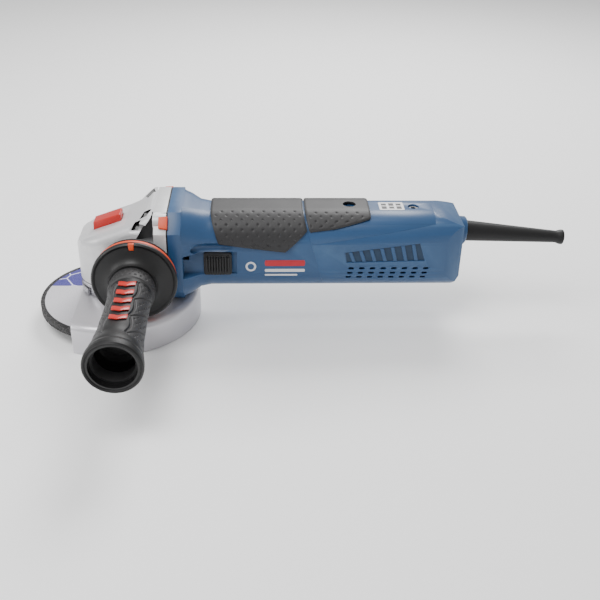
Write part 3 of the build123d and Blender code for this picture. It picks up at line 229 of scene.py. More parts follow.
finishes = {
    "castMetal": dict(color=(0.55, 0.55, 0.56), worn=(0.85, 0.85, 0.85), roughness=0.40, metallic=0.30, grain=700.0,
                      depth=0.45, bump=0.16, wear=0.5, tint=0.14, dust=0.05, gloss=0.5),
    # Darker cast metal laid on the pocket walls: painted shade in the recess
    "castPaintedShade": dict(color=(0.16, 0.16, 0.165), worn=(0.5, 0.5, 0.5), roughness=0.55, metallic=0.2, grain=700.0,
                      depth=0.45, bump=0.2, wear=0.5, tint=0.2, dust=0.05, gloss=0.4),
    "guardSteel": dict(color=(0.58, 0.57, 0.60), worn=(0.9, 0.9, 0.9), roughness=0.30, metallic=0.40, grain=420.0,
                       depth=0.25, bump=0.06, wear=0.6, tint=0.12, dust=0.06, gloss=0.5),
    "bluePlastic": dict(color=(0.016, 0.062, 0.155), worn=(0.08, 0.17, 0.30), roughness=0.38, metallic=0.0,
                        grain=1500.0, depth=0.4, bump=0.16, wear=0.4, tint=0.2, dust=0.02, gloss=0.45),
    # Dark blue laid on the louvre panel floor: painted shade between the ribs
    "bluePaintedShade": dict(color=(0.006, 0.022, 0.055), worn=(0.04, 0.09, 0.16), roughness=0.5, metallic=0.0,
                      grain=1500.0, depth=0.4, bump=0.16, wear=0.3, tint=0.2, dust=0.02, gloss=0.35),
    "softBlack": dict(color=(0.008, 0.008, 0.0085), worn=(0.05, 0.05, 0.05), roughness=0.46, metallic=0.0,
                      grain=1300.0, depth=0.6, bump=0.25, wear=0.35, tint=0.3, dust=0.02, gloss=0.28),
    "padRubber": dict(color=(0.019, 0.0185, 0.020), worn=(0.10, 0.10, 0.10), roughness=0.52, metallic=0.0,
                      grain=1300.0, depth=0.6, bump=0.25, wear=0.35, tint=0.3, dust=0.04, gloss=0.4),
    "blackPlastic": dict(color=(0.007, 0.007, 0.0075), worn=(0.05, 0.05, 0.05), roughness=0.42, metallic=0.0,
                         grain=1100.0, depth=0.5, bump=0.22, wear=0.4, tint=0.3, dust=0.03, gloss=0.35),
    "glossBlack": dict(color=(0.006, 0.006, 0.0065), worn=(0.03, 0.03, 0.03), roughness=0.24, metallic=0.0,
                       grain=800.0, depth=0.2, bump=0.06, wear=0.2, tint=0.2, dust=0.02, gloss=0.45),
    "orangeRubber": dict(color=(0.66, 0.065, 0.012), worn=(0.8, 0.22, 0.1), roughness=0.45, metallic=0.0,
                         grain=1000.0, depth=0.3, bump=0.12, wear=0.3, tint=0.15, dust=0.03, gloss=0.4),
    "redPlastic": dict(color=(0.46, 0.014, 0.008), worn=(0.62, 0.08, 0.05), roughness=0.30, metallic=0.0,
                       grain=900.0, depth=0.3, bump=0.08, wear=0.4, tint=0.2, dust=0.02, gloss=0.45),
    "brightSteel": dict(color=(0.50, 0.50, 0.52), worn=(0.8, 0.8, 0.8), roughness=0.27, metallic=1.0, grain=600.0,
                        depth=0.3, bump=0.05, wear=0.5, tint=0.2, dust=0.03, gloss=0.5),
    "darkSteel": dict(color=(0.06, 0.06, 0.065), worn=(0.35, 0.35, 0.35), roughness=0.38, metallic=0.85, grain=500.0,
                      depth=0.4, bump=0.12, wear=0.7, tint=0.2, dust=0.04, gloss=0.5),
    "copper": dict(color=(0.50, 0.18, 0.065), worn=(0.75, 0.4, 0.25), roughness=0.35, metallic=0.9, grain=900.0,
                   depth=0.4, bump=0.15, wear=0.3, tint=0.25, dust=0.04, gloss=0.5),
    "greyPlastic": dict(color=(0.07, 0.07, 0.075), worn=(0.2, 0.2, 0.2), roughness=0.45, metallic=0.0,
                        grain=1000.0, depth=0.4, bump=0.15, wear=0.3, tint=0.15, dust=0.04, gloss=0.45),
    "whiteInk": dict(color=(0.62, 0.62, 0.64), worn=(0.5, 0.5, 0.5), roughness=0.5, metallic=0.0, grain=1500.0,
                     depth=0.3, bump=0.05, wear=0.2, tint=0.1, dust=0.02, gloss=0.4),
    "redInk": dict(color=(0.42, 0.010, 0.022), worn=(0.45, 0.06, 0.06), roughness=0.45, metallic=0.0, grain=1500.0,
                   depth=0.3, bump=0.05, wear=0.2, tint=0.1, dust=0.02, gloss=0.4),
    "stickerPaper": dict(color=(0.72, 0.72, 0.73), worn=(0.6, 0.6, 0.6), roughness=0.4, metallic=0.0, grain=1200.0,
                         depth=0.2, bump=0.04, wear=0.2, tint=0.08, dust=0.03, gloss=0.4),
    "carbon": dict(color=(0.02, 0.02, 0.02), worn=(0.08, 0.08, 0.08), roughness=0.7, metallic=0.0, grain=900.0,
                   depth=0.6, bump=0.3, wear=0.3, tint=0.2, dust=0.04, gloss=0.3),
}


dustStyle = {"color": (0.45, 0.43, 0.40), "roughness": 0.4}
grainRelief = 0.4 * mm


def startMaterial(name, roughness, metallic):
    material = bpy.data.materials.new(name)
    material.use_nodes = True
    tree = material.node_tree
    shader = tree.nodes["Principled BSDF"]
    shader.inputs["Metallic"].default_value = metallic
    shader.inputs["Roughness"].default_value = roughness
    return material, tree, shader


def addRelief(tree, shader, height, strength, distance):
    relief = addNode(tree, "ShaderNodeBump")
    relief.inputs["Strength"].default_value = strength
    relief.inputs["Distance"].default_value = distance
    tree.links.new(height, relief.inputs["Height"])
    tree.links.new(relief.outputs[0], shader.inputs["Normal"])


def makeFinish(name, color, worn, roughness, metallic, grain, depth, bump, wear, tint, dust, gloss):
    material, tree, shader = startMaterial(name, roughness, metallic)
    shader.inputs["Specular IOR Level"].default_value = gloss
    surface = groupNode(tree, "grain", Scale=grain, Depth=depth, Tint=tint)
    edges = groupNode(tree, "wear", Amount=wear)
    film = groupNode(tree, "dust", Amount=dust)
    shaded = scaleColor(tree, color, surface.outputs["Shade"])
    edged = blendColor(tree, edges.outputs["Mask"], shaded, worn)
    dusted = blendColor(tree, film.outputs["Mask"], edged, dustStyle["color"])
    feed(tree, dusted, shader.inputs["Base Color"])
    shine = mathNode(tree, "MULTIPLY", surface.outputs["Shade"], roughness)
    dulled = mathNode(tree, "MULTIPLY", film.outputs["Mask"], dustStyle["roughness"])
    feed(tree, mathNode(tree, "ADD", shine, dulled), shader.inputs["Roughness"])
    addRelief(tree, shader, surface.outputs["Height"], bump, grainRelief)
    return material


materials = {name: makeFinish(name, **values) for name, values in finishes.items()}


gritStyle = {"grainScale": 1400.0, "glint": 3.0, "roughness": 0.8, "bump": 0.8, "relief": 0.6 * mm,
             "dark": (0.010, 0.010, 0.011), "light": (0.10, 0.095, 0.095)}


# Bonded abrasive: crystals in dark resin
def makeGrit():
    style = gritStyle
    material, tree, shader = startMaterial("abrasiveGrit", style["roughness"], 0.0)
    crystals = textureNode(tree, "ShaderNodeTexVoronoi", style["grainScale"])
    split = addNode(tree, "ShaderNodeSeparateColor")
    tree.links.new(crystals.outputs["Color"], split.inputs[0])
    glint = mathNode(tree, "POWER", split.outputs[0], style["glint"])
    feed(tree, blendColor(tree, glint, style["dark"], style["light"]), shader.inputs["Base Color"])
    addRelief(tree, shader, crystals.outputs["Distance"], style["bump"], style["relief"])
    return material


labelStyle = {"blue": (0.035, 0.030, 0.20), "fleck": (0.20, 0.19, 0.48), "pale": (0.52, 0.51, 0.54),
              "line": (0.62, 0.62, 0.80), "splitY": 14 * mm, "cells": 44.0, "lineWidth": 0.022,
              "speckle": 1300.0, "speckleDetail": 2.0, "fleckLevel": 0.56, "fleckShare": 0.35,
              "roughness": 0.55, "bump": 0.3, "relief": 0.3 * mm}


# Printed disc label: speckled blue half with pale cracks, and a pale half
def makeLabelPrint():
    style = labelStyle
    material, tree, shader = startMaterial("labelPrint", style["roughness"], 0.0)
    speckle = noiseNode(tree, style["speckle"], style["speckleDetail"])
    cracks = textureNode(tree, "ShaderNodeTexVoronoi", style["cells"], feature="DISTANCE_TO_EDGE")
    onLine = mathNode(tree, "LESS_THAN", cracks.outputs["Distance"], style["lineWidth"])
    flecks = mathNode(tree, "GREATER_THAN", speckle, style["fleckLevel"])
    flecked = mathNode(tree, "MULTIPLY", flecks, style["fleckShare"])
    body = blendColor(tree, flecked, style["blue"], style["fleck"])
    lined = blendColor(tree, onLine, body, style["line"])
    place = addNode(tree, "ShaderNodeTexCoord")
    split = addNode(tree, "ShaderNodeSeparateXYZ")
    tree.links.new(place.outputs["Object"], split.inputs[0])
    front = mathNode(tree, "LESS_THAN", split.outputs["Y"], style["splitY"])
    paleShade = scaleColor(tree, style["pale"], mathNode(tree, "ADD", speckle, 0.5))
    feed(tree, blendColor(tree, front, lined, paleShade), shader.inputs["Base Color"])
    addRelief(tree, shader, speckle, style["bump"], style["relief"])
    return material


materials["abrasiveGrit"] = makeGrit()
materials["labelPrint"] = makeLabelPrint()
print("materials:", len(materials))


# Mesh helpers

meshStyle = {"weld": 1e-6, "flatAngle": 0.5, "bevelAngle": 32}
boxFaces = [(0, 1, 2, 3), (7, 6, 5, 4), (0, 4, 5, 1), (1, 5, 6, 2), (2, 6, 7, 3), (3, 7, 4, 0)]


def setFinish(piece, finish):
    piece.data.materials.clear()
    piece.data.materials.append(materials[finish])


# Gives a piece its finish and its body
def dress(piece, finish, body):
    setFinish(piece, finish)
    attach(piece, body)


def newMesh(name, vertices, faces):
    mesh = bpy.data.meshes.new(name)
    mesh.from_pydata(vertices, [], faces)
    mesh.update()
    return mesh


def addObject(name, mesh):
    piece = bpy.data.objects.new(name, mesh)
    bpy.context.scene.collection.objects.link(piece)
    return piece


def newPiece(name, vertices, faces, finish, body):
    piece = addObject(name, newMesh(name, vertices, faces))
    dress(piece, finish, body)
    return piece


def smoothShade(piece, angle=35):
    mesh = piece.data
    work = bmesh.new()
    work.from_mesh(mesh)
    limit = math.radians(angle)
    for face in work.faces:
        face.smooth = True
    for edge in work.edges:
        edge.smooth = len(edge.link_faces) == 2 and edge.calc_face_angle(0) < limit
    work.to_mesh(mesh)
    work.free()


def applyModifiers(piece):
    bpy.context.view_layer.update()
    graph = bpy.context.evaluated_depsgraph_get()
    mesh = bpy.data.meshes.new_from_object(piece.evaluated_get(graph))
    piece.modifiers.clear()
    piece.data = mesh


def fixNormals(piece):
    work = bmesh.new()
    work.from_mesh(piece.data)
    bmesh.ops.recalc_face_normals(work, faces=work.faces)
    work.to_mesh(piece.data)
    work.free()


# Editable copy of a CAD node, welded, that stands in for it
def copyNode(node, name, finish):
    mesh = nodes[node].data.copy()
    mesh.name = name
    piece = addObject(name, mesh)
    work = bmesh.new()
    work.from_mesh(mesh)
    bmesh.ops.remove_doubles(work, verts=work.verts, dist=meshStyle["weld"])
    flat = math.radians(meshStyle["flatAngle"])
    bmesh.ops.dissolve_limit(work, angle_limit=flat, verts=work.verts, edges=work.edges)
    work.to_mesh(mesh)
    work.free()
    dress(piece, finish, nodes[node]["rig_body"])
    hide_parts(node)
    return piece


# Cutters are temporary: carve takes them away again
def newCutter(vertices, faces):
    cutter = addObject("cutter", newMesh("cutter", vertices, faces))
    fixNormals(cutter)
    return cutter


# An outline of (x, z) or (x, y) points drawn out along an axis
def prism(points, start, end, axis="y"):
    count = len(points)
    vertices = []
    for depth in (start, end):
        for a, b in points:
            vertices.append((a, depth, b) if axis == "y" else (a, b, depth))
    faces = [tuple(range(count)), tuple(range(2 * count - 1, count - 1, -1))]
    for i in range(count):
        j = (i + 1) % count
        faces.append((i, i + count, j + count, j))
    return newCutter(vertices, faces)


# An ellipsoid
def ball(centre, radii, segments=64):
    mesh = bpy.data.meshes.new("cutter")
    work = bmesh.new()
    spread = Matrix.Translation(centre) @ Matrix.Diagonal((*radii, 1.0))
    bmesh.ops.create_uvsphere(work, u_segments=segments, v_segments=segments // 2, radius=1.0, matrix=spread)
    work.to_mesh(mesh)
    work.free()
    return addObject("cutter", mesh)


def carve(piece, cutters, operation="DIFFERENCE", finish=None):
    for cutter in cutters:
        if finish:
            cutter.data.materials.append(materials[finish])
        modifier = piece.modifiers.new("carve", "BOOLEAN")
        modifier.operation = operation
        modifier.solver = "EXACT"
        modifier.object = cutter
        modifier.material_mode = "TRANSFER" if finish else "INDEX"
        applyModifiers(piece)
        mesh = cutter.data
        bpy.data.objects.remove(cutter)
        bpy.data.meshes.remove(mesh)


# Rounds the sharp edges of a piece and shades it smooth
def soften(piece, width, segments=2):
    modifier = piece.modifiers.new("soften", "BEVEL")
    modifier.width = width
    modifier.segments = segments
    modifier.limit_method = "ANGLE"
    modifier.angle_limit = math.radians(meshStyle["bevelAngle"])
    applyModifiers(piece)
    smoothShade(piece)


# Turns a sheet into a closed plate, inward from its face
def thicken(piece, thickness):
    modifier = piece.modifiers.new("thick", "SOLIDIFY")
    modifier.thickness = thickness
    modifier.offset = -1
    applyModifiers(piece)
    fixNormals(piece)


# Turns a prism that is no cutter into a piece of the housing
def keepPrism(piece, name, finish):
    piece.name = name
    piece.data.name = name
    dress(piece, finish, "housing")


def gridFaces(rows, columns, closed=False):
    faces = []
    span = columns if closed else columns - 1
    for i in range(rows - 1):
        for j in range(span):
            k = (j + 1) % columns
            faces.append((i * columns + j, i * columns + k, (i + 1) * columns + k, (i + 1) * columns + j))
    return faces


# Faces of a ring whose last row joins its first
def loopFaces(rows, around):
    last = (rows - 1) * around
    join = [(last + j, last + (j + 1) % around, (j + 1) % around, j) for j in range(around)]
    return gridFaces(rows, around, closed=True) + join


def smoothStep(value):
    value = min(max(value, 0.0), 1.0)
    return value * value * (3 - 2 * value)


def inMetres(points):
    return [(a * mm, b * mm) for a, b in points]


# First value of a line of (value, place) points, which go up by place
def alongLine(points, place):
    for (a0, b0), (a1, b1) in zip(points, points[1:]):
        if place <= b1:
            return a0 + (a1 - a0) * (place - b0) / (b1 - b0)
    return points[-1][0]


# Grip pads with real dimples

# Point on the rounded grip section: s runs from the top centre, positive towards -Y
def sectionPoint(s, out):
    side = -1.0 if s >= 0 else 1.0
    run = abs(s)
    if run <= flatHalf:
        return side * run, axisZ + gripHalfH + out
    if run <= flatHalf + cornerArc:
        turn = (run - flatHalf) / gripCorner
        reach = gripCorner + out
        return (side * (flatHalf + reach * math.sin(turn)),
                axisZ + gripHalfH - gripCorner + reach * math.cos(turn))
    down = run - flatHalf - cornerArc
    return side * (gripHalfW + out), axisZ + gripHalfH - gripCorner - down


# Distance along the section from the top centre down to a height above the motor axis
def runAtHeight(height):
    if height >= gripHalfH - gripCorner:
        return flatHalf + gripCorner * math.acos((height - gripHalfH + gripCorner) / gripCorner)
    return flatHalf + cornerArc + (gripHalfH - gripCorner - height)


# How deep the surface is at a point, from the nearest dimple of a staggered pattern
def dimpleDepth(x, s, style, lastRun):
    row = round((abs(s) - style["firstRow"]) / style["rowPitch"])
    if row < 0 or style["firstRow"] + row * style["rowPitch"] > lastRun - style["margin"]:
        return 0.0
    shift = 0.5 * (row % 2)
    column = round((x - style["start"]) / style["pitch"] - shift)
    centreX = style["start"] + (column + shift) * style["pitch"]
    if centreX < style["start"] + style["margin"] or centreX > style["end"] - style["margin"]:
        return 0.0
    gap = math.hypot(x - centreX, abs(s) - style["firstRow"] - row * style["rowPitch"])
    return style["depth"] * (1 - smoothStep(gap / style["radius"]))


# Pad wrapped over the grip, between two side outlines of (x, height) points from the lowest up
def buildPad(name, node, style, front, rear):
    lastRun = runAtHeight(front[0][1])
    rows, columns = style["rows"], style["columns"]
    vertices = []
    for i in range(rows):
        s = lastRun * (2 * i / (rows - 1) - 1)
        height = sectionPoint(s, 0.0)[1] - axisZ
        x0, x1 = alongLine(front, height), alongLine(rear, height)
        for j in range(columns):
            x = x0 + (x1 - x0) * j / (columns - 1)
            edge = min(x - x0, x1 - x, lastRun - abs(s))
            drop = style["edgeDrop"] * (1 - smoothStep(edge / style["edgeWidth"]))
            drop += dimpleDepth(x, s, style, lastRun) * smoothStep(edge / style["plainRim"] - 1)
            y, z = sectionPoint(s, style["proud"] - drop)
            vertices.append((x, y, z))
    pad = newPiece(name, vertices, gridFaces(rows, columns), "padRubber", "housing")
    thicken(pad, style["thickness"])
    smoothShade(pad, style["crease"])
    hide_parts(node)
    return pad


frontLow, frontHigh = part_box("front_grip_pad")
rearLow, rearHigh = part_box("rear_grip_pad")
seamStyle = {"middleX": 163 * mm, "lean": 18 * mm, "gap": 1.2 * mm, "low": 22 * mm, "high": 32 * mm}


# x of the slanting seam between the pads, at a height above the motor axis
def seamAt(height):
    return seamStyle["middleX"] - seamStyle["lean"] / (2 * gripHalfH) * height


def seamEdge(shift):
    return [(seamAt(height) + shift, height) for height in (seamStyle["low"], seamStyle["high"])]


frontStyle = {"proud": 0.55 * mm, "thickness": 1.5 * mm, "edgeDrop": 0.45 * mm, "edgeWidth": 1.1 * mm,
              "plainRim": 1.0 * mm, "firstRow": 12.5 * mm, "rowPitch": 3.9 * mm, "pitch": 8.2 * mm,
              "radius": 1.6 * mm, "depth": 0.95 * mm, "margin": 2.6 * mm, "rows": 230, "columns": 190,
              "start": frontLow.x, "end": frontHigh.x, "crease": 50,
              "nose": ((139, 6.4), (87, 13.5), (81, 31)), "heel": ((139.2, 6.4),)}
rearStyle = dict(frontStyle, rows=150, columns=120, start=rearLow.x, end=rearHigh.x, firstRow=14 * mm,
                 cornerX=1.6 * mm, slantX=22 * mm, slantHeight=24 * mm, tail=((206, 29), (206, 32)),
                 holeX=4.1 * mm, holeRadius=5.2 * mm, holeDepth=5 * mm, holeSides=48)


def buildPads():
    buildPad("frontGripPad", "front_grip_pad", frontStyle, inMetres(frontStyle["nose"]),
             inMetres(frontStyle["heel"]) + seamEdge(-seamStyle["gap"]))
    style, low = rearStyle, seamStyle["low"]
    tail = [(seamAt(low) + style["cornerX"], low), (seamAt(low) + style["slantX"], style["slantHeight"])]
    pad = buildPad("rearGripPad", "rear_grip_pad", style, seamEdge(seamStyle["gap"]),
                   tail + inMetres(style["tail"]))
    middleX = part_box("shell_screws")[0].x + style["holeX"]
    turns = [2 * math.pi * i / style["holeSides"] for i in range(style["holeSides"])]
    circle = [(middleX + style["holeRadius"] * math.cos(turn), style["holeRadius"] * math.sin(turn))
              for turn in turns]
    top = axisZ + gripHalfH
    carve(pad, [prism(circle, top - style["holeDepth"], top + style["holeDepth"], axis="z")])
    smoothShade(pad, style["crease"])


buildPads()
print("pads done")


# Side handle: distances are in mm in front of the boss face, turns in degrees from the top

sleeveStyle = {
    "profile": [(16.0, 27.2), (17.0, 29), (17.6, 35), (17.2, 41), (16.2, 42.6), (15.9, 44), (15.8, 70), (16.4, 95),
                (17.6, 112), (19.2, 124), (20.2, 128.6), (20.3, 131), (20.1, 132.8), (19.2, 133.9)],
    "lip": ((18.4, 133.95), (17.9, 133.7), (17.75, 132), (17.75, 128), (14.2, 128), (14.2, 27.2)),
    "rings": 420, "around": 264, "crease": 60,
    "dimplePitch": 4.4, "dimpleRadius": 1.25, "dimpleDepth": 0.75,
    "collarEnd": 42, "collarPaint": 42.5, "collarFirst": 31, "collarPitch": 3.6, "collarRows": 3, "collarCount": 24,
    "zoneStart": 45, "zoneEnd": 118, "panelHalf": 32.0, "border": 2.2, "wave": 2.6,
    "grooveDepth": 1.0, "grooveWidth": 1.2, "scaleLength": 23.0, "scaleLean": 1.15, "scaleRim": 3.2,
}
bossY = buttY + 134 * mm  # one handle length behind the butt


def profileRadius(d):
    points = sleeveStyle["profile"]
    for (r0, d0), (r1, d1) in zip(points, points[1:]):
        if d <= d1:
            return r0 + (r1 - r0) * smoothStep((d - d0) / (d1 - d0))
    return points[-1][0]


# Depth of the nearest dimple of a staggered pattern
def sleeveDimple(across, along, step, pitch):
    row = round(along / pitch)
    shift = 0.5 * (row % 2)
    near = round(across / step - shift)
    gap = math.hypot(across - (near + shift) * step, along - row * pitch)
    return sleeveStyle["dimpleDepth"] * (1 - smoothStep(gap / sleeveStyle["dimpleRadius"]))


# How far a point lies past the smooth panel's edge, and past its waved border
def pastPanel(arc, d, radius):
    style = sleeveStyle
    beside = abs(arc) - math.radians(style["panelHalf"]) * radius
    wave = style["wave"] * abs(math.sin(math.pi * (d - style["zoneStart"]) / style["scaleLength"]))
    return beside, beside + style["border"] - wave


# Depth below the plain profile
def sleeveRelief(turn, d, radius):
    style = sleeveStyle
    arc = math.radians((turn + 180) % 360 - 180) * radius
    if d < style["collarEnd"]:
        along = d - style["collarFirst"]
        if round(along / style["collarPitch"]) not in range(style["collarRows"]):
            return 0.0
        return sleeveDimple(arc, along, 2 * math.pi * radius / style["collarCount"], style["collarPitch"])
    if not style["zoneStart"] < d < style["zoneEnd"]:
        return 0.0
    beside, border = pastPanel(arc, d, radius)
    dent = style["grooveDepth"] * (1 - smoothStep(abs(border) / style["grooveWidth"]))
    if border > 0:
        along = d - style["zoneStart"]
        lean = (along + beside * style["scaleLean"]) % style["scaleLength"]
        lean = min(lean, style["scaleLength"] - lean)
        dent = max(dent, style["grooveDepth"] * (1 - smoothStep(lean / style["grooveWidth"])))
        if lean > style["scaleRim"] and border > style["border"]:
            dent += sleeveDimple(beside, along, style["dimplePitch"], style["dimplePitch"])
    return dent


def handlePoint(turn, d, radius):
    angle = math.radians(turn)
    return (handleX + radius * mm * math.sin(angle), bossY - d * mm, handleZ + radius * mm * math.cos(angle))


def handleRing(radius, d, around):
    return [handlePoint(360 * j / around, d, radius) for j in range(around)]


# The dimpled zones and the collar are paler than the smooth panels
def paintZones(sleeve):
    style = sleeveStyle
    sleeve.data.materials.append(materials["padRubber"])
    for face in sleeve.data.polygons:
        middle = face.center
        d = (bossY - middle.y) / mm
        offset = math.atan2(middle.x - handleX, middle.z - handleZ)
        radius = max(math.hypot(middle.x - handleX, middle.z - handleZ) / mm, 1.0)
        border = pastPanel(offset * radius, d, radius)[1]
        if d < style["collarPaint"] or (style["zoneStart"] < d < style["zoneEnd"] and border > 0):
            face.material_index = 1


def buildGripSleeve():
    rings, around = sleeveStyle["rings"], sleeveStyle["around"]
    first, last = sleeveStyle["profile"][0][1], sleeveStyle["profile"][-1][1]
    vertices = []
    for i in range(rings):
        d = first + (last - first) * i / (rings - 1)
        plain = profileRadius(d)
        for j in range(around):
            turn = 360 * j / around
            vertices.append(handlePoint(turn, d, plain - sleeveRelief(turn, d, plain)))
    for radius, d in sleeveStyle["lip"]:
        vertices += handleRing(radius, d, around)
    faces = loopFaces(rings + len(sleeveStyle["lip"]), around)
    sleeve = newPiece("gripSleeve", vertices, faces, "softBlack", "housing")
    fixNormals(sleeve)
    smoothShade(sleeve, sleeveStyle["crease"])
    paintZones(sleeve)
    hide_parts("grip_sleeve")


buildGripSleeve()

chevronStyle = {"count": 5, "first": 50.5, "pitch": 11.6, "halfWidth": 6.0, "arm": 3.4, "length": 5.4, "proud": 0.45,
                "columns": 13, "thickness": 0.8 * mm, "edge": 0.15 * mm}


# Row of plain raised chevrons along the smooth panel
def buildGripMarks():
    style = chevronStyle
    columns = style["columns"]
    vertices, faces = [], []
    for i in range(style["count"]):
        middle = style["first"] + i * style["pitch"]
        base = len(vertices)
        for row in (0.0, 1.0):
            for j in range(columns):
                across = style["halfWidth"] * (2 * j / (columns - 1) - 1)
                d = middle + style["length"] * row - style["arm"] * abs(across) / style["halfWidth"]
                radius = profileRadius(d)
                vertices.append(handlePoint(math.degrees(across / radius), d, radius + style["proud"]))
        faces += [tuple(base + corner for corner in face) for face in gridFaces(2, columns)]
    marks = newPiece("gripMarks", vertices, faces, "redPlastic", "housing")
    thicken(marks, style["thickness"])
    soften(marks, style["edge"])


buildGripMarks()

# Profiles are (radius, distance); tab outlines are (x, z) from the handle's axis
stackStyle = {
    "around": 192, "crease": 32,
    "flange": [(5.9, 16.6), (31.6, 16.6), (32.2, 17.0), (32.5, 17.7), (32.5, 19.0), (32.1, 20.0), (31.2, 20.7),
               (30.2, 20.5), (29.4, 19.9), (26.0, 20.6), (22.5, 21.8), (19.6, 23.6), (18.2, 25.4), (17.7, 27.0),
               (5.9, 27.0)],
    "notch": ((-2, 26.5), (2, 26.5), (2.4, 36), (-2.4, 36)), "notchSpan": (18.2, 24),
    "damper": [(5.9, 12.1), (30.9, 12.1), (31.5, 12.6), (31.8, 13.4), (31.8, 15.4), (31.4, 16.2), (30.8, 16.5),
               (5.9, 16.5)],
    "tongue": ((-1.7, 27), (1.7, 27), (2.1, 32.1), (-2.1, 32.1)), "tongueSpan": (16, 20.6), "damperEdge": 0.3 * mm,
    "base": [(5.9, 0.2), (14.6, 0.2), (15.2, 0.8), (17.2, 2.4), (28.6, 6.0), (29.8, 6.8), (30.5, 8.0), (30.5, 9.2),
             (29.7, 9.5), (29.7, 10.3), (30.5, 10.6), (30.4, 11.4), (30.0, 12.0), (5.9, 12.0)],
}


# Ring turned round the handle's axis
def turnedPiece(name, profile, finish):
    around = stackStyle["around"]
    vertices = []
    for radius, d in profile:
        vertices += handleRing(radius, d, around)
    piece = newPiece(name, vertices, loopFaces(len(profile), around), finish, "housing")
    fixNormals(piece)
    smoothShade(piece, stackStyle["crease"])
    return piece


def handleTab(outline, span):
    points = [(handleX + x * mm, handleZ + z * mm) for x, z in outline]
    return prism(points, bossY - span[0] * mm, bossY - span[1] * mm)


def buildHandleStack():
    style = stackStyle
    flange = turnedPiece("handFlange", style["flange"], "blackPlastic")
    carve(flange, [handleTab(style["notch"], style["notchSpan"])])
    smoothShade(flange, style["crease"])
    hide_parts("handle_flange")
    damper = turnedPiece("damperRing", style["damper"], "orangeRubber")
    carve(damper, [handleTab(style["tongue"], style["tongueSpan"])], operation="UNION")
    soften(damper, style["damperEdge"])
    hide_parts("handle_damper")
    base = turnedPiece("handleBase", style["base"], "blackPlastic")
    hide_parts("handle_base")


buildHandleStack()
print("handle done")


# Gear housing and its guard; a window is (middle x, y, z, half width, half height)
headStyle = {
    "pocket": ((21.0, 64.5), (37.4, 88.5), (37.4, 66.0)), "pocketY": (21.5, 45),
    "windows": ((24.0, 25.6, 77.6, 2.7, 3.3), (31.0, 19.8, 84.4, 3.2, 3.9)),
    "windowLean": 1.5, "windowReach": (-6.0, 20.0), "edge": 0.8 * mm, "edgeSegments": 3,
}


# Cutter for a window that looks up and out at 45 degrees
def windowCutter(side, x, y, z, halfWidth, halfHeight):
    out = Vector((0, side, 1)).normalized()
    up = Vector((0, -side, 1)).normalized()
    lean = headStyle["windowLean"]
    vertices = []
    for reach in headStyle["windowReach"]:
        for u, v in ((-1, -1), (1, -1), (1, 1), (-1, 1)):
            place = Vector((x + u * halfWidth + v * lean, side * y, z)) + up * v * halfHeight + out * reach
            vertices.append(tuple(place * mm))
    return newCutter(vertices, boxFaces)


def buildGearHousing():
    style = headStyle
    head = copyNode("gear_housing", "gearHousing", "castMetal")
    near, far = style["pocketY"]
    pockets, windows = [], []
    for side in (-1, 1):
        pockets.append(prism(inMetres(style["pocket"]), side * near * mm, side * far * mm))
        windows += [windowCutter(side, *spec) for spec in style["windows"]]
    soften(head, style["edge"], segments=style["edgeSegments"])
    # The pocket walls take the darker cast finish: painted shade in the recess
    carve(head, pockets, finish="castPaintedShade")
    # Window walls in gloss black: painted shade standing in for the dark inside of the vents
    carve(head, windows, finish="glossBlack")
    smoothShade(head)


# Copies CAD nodes with rounded edges: node, name, finish, slot, edge in mm
def buildCopies(table):
    for node, name, finish, slot, edge in table:
        soften(copyNode(node, name, finish), edge * mm)


guardTable = (
    ("guard", "wheelGuard", "guardSteel", "guard_steel", 0.35),
    ("guard_collar", "guardCollar", "guardSteel", "guard_steel", 0.3),
    ("clamp_band", "clampBand", "brightSteel", "steel", 0.3),
    ("guard_lever", "guardLever", "brightSteel", "steel", 0.3),
    ("bearing_flange", "bearingFlange", "brightSteel", "steel", 0.3),
)
buildGearHousing()
buildCopies(guardTable)
print("gear housing and guard done")


# Motor housing and rear shells: marks are middle x, distance below the middle of the side, half sizes, finish,
# corner rounding and height
patchStyle = {"around": 9, "thickness": 0.3 * mm}
markLayout = {
    "markDot": (112.0, 7.5, 4.2, 4.2, "whiteInk", 1.0, 0.16),
    "markDotCore": (112.0, 7.5, 2.6, 2.6, "bluePlastic", 1.0, 0.3),
    "markBar": (139.0, 4.5, 16.0, 2.6, "redInk", 0.15, 0.16),
    "markLineOne": (139.0, 11.0, 16.0, 1.3, "whiteInk", 0.15, 0.16),
    "markLineTwo": (136.0, 15.0, 13.0, 0.7, "whiteInk", 0.15, 0.16),
}
sideRun = flatHalf + cornerArc + (gripHalfH - gripCorner)  # half way down the side


# Small flat mark that follows the grip section
def buildMark(name, x, down, halfX, halfS, finish, corner, proud):
    around = patchStyle["around"]
    vertices = []
    for i in range(around):
        for j in range(around):
            u, v = 2 * i / (around - 1) - 1, 2 * j / (around - 1) - 1
            du = u * math.sqrt(1 - corner * v * v / 2)
            dv = v * math.sqrt(1 - corner * u * u / 2)
            y, z = sectionPoint(sideRun + down * mm + halfS * mm * dv, proud * mm)
            vertices.append((x * mm + halfX * mm * du, y, z))
    mark = newPiece(name, vertices, gridFaces(around, around), finish, "housing")
    thicken(mark, patchStyle["thickness"])
    smoothShade(mark)


for markName, layout in markLayout.items():
    buildMark(markName, *layout)

housingStyle = {"scoopBack": 4 * mm, "scoopOut": 3.0 * mm, "scoopUp": 4.0 * mm, "scoop": (19 * mm, 5.5 * mm, 5.0 * mm),
                "edge": 0.6 * mm, "lowerEdge": 0.5 * mm, "upperEdge": 0.4 * mm}


def buildMotorHousing():
    style = housingStyle
    body = copyNode("motor_housing", "motorHousing", "bluePlastic")
    switchLow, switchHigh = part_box("switch_slider")
    middle = Vector(((switchLow.x + switchHigh.x) / 2 - style["scoopBack"], -gripHalfW - style["scoopOut"],
                     switchHigh.z + style["scoopUp"]))
    carve(body, [ball(middle, style["scoop"])])
    soften(body, style["edge"])


buildMotorHousing()

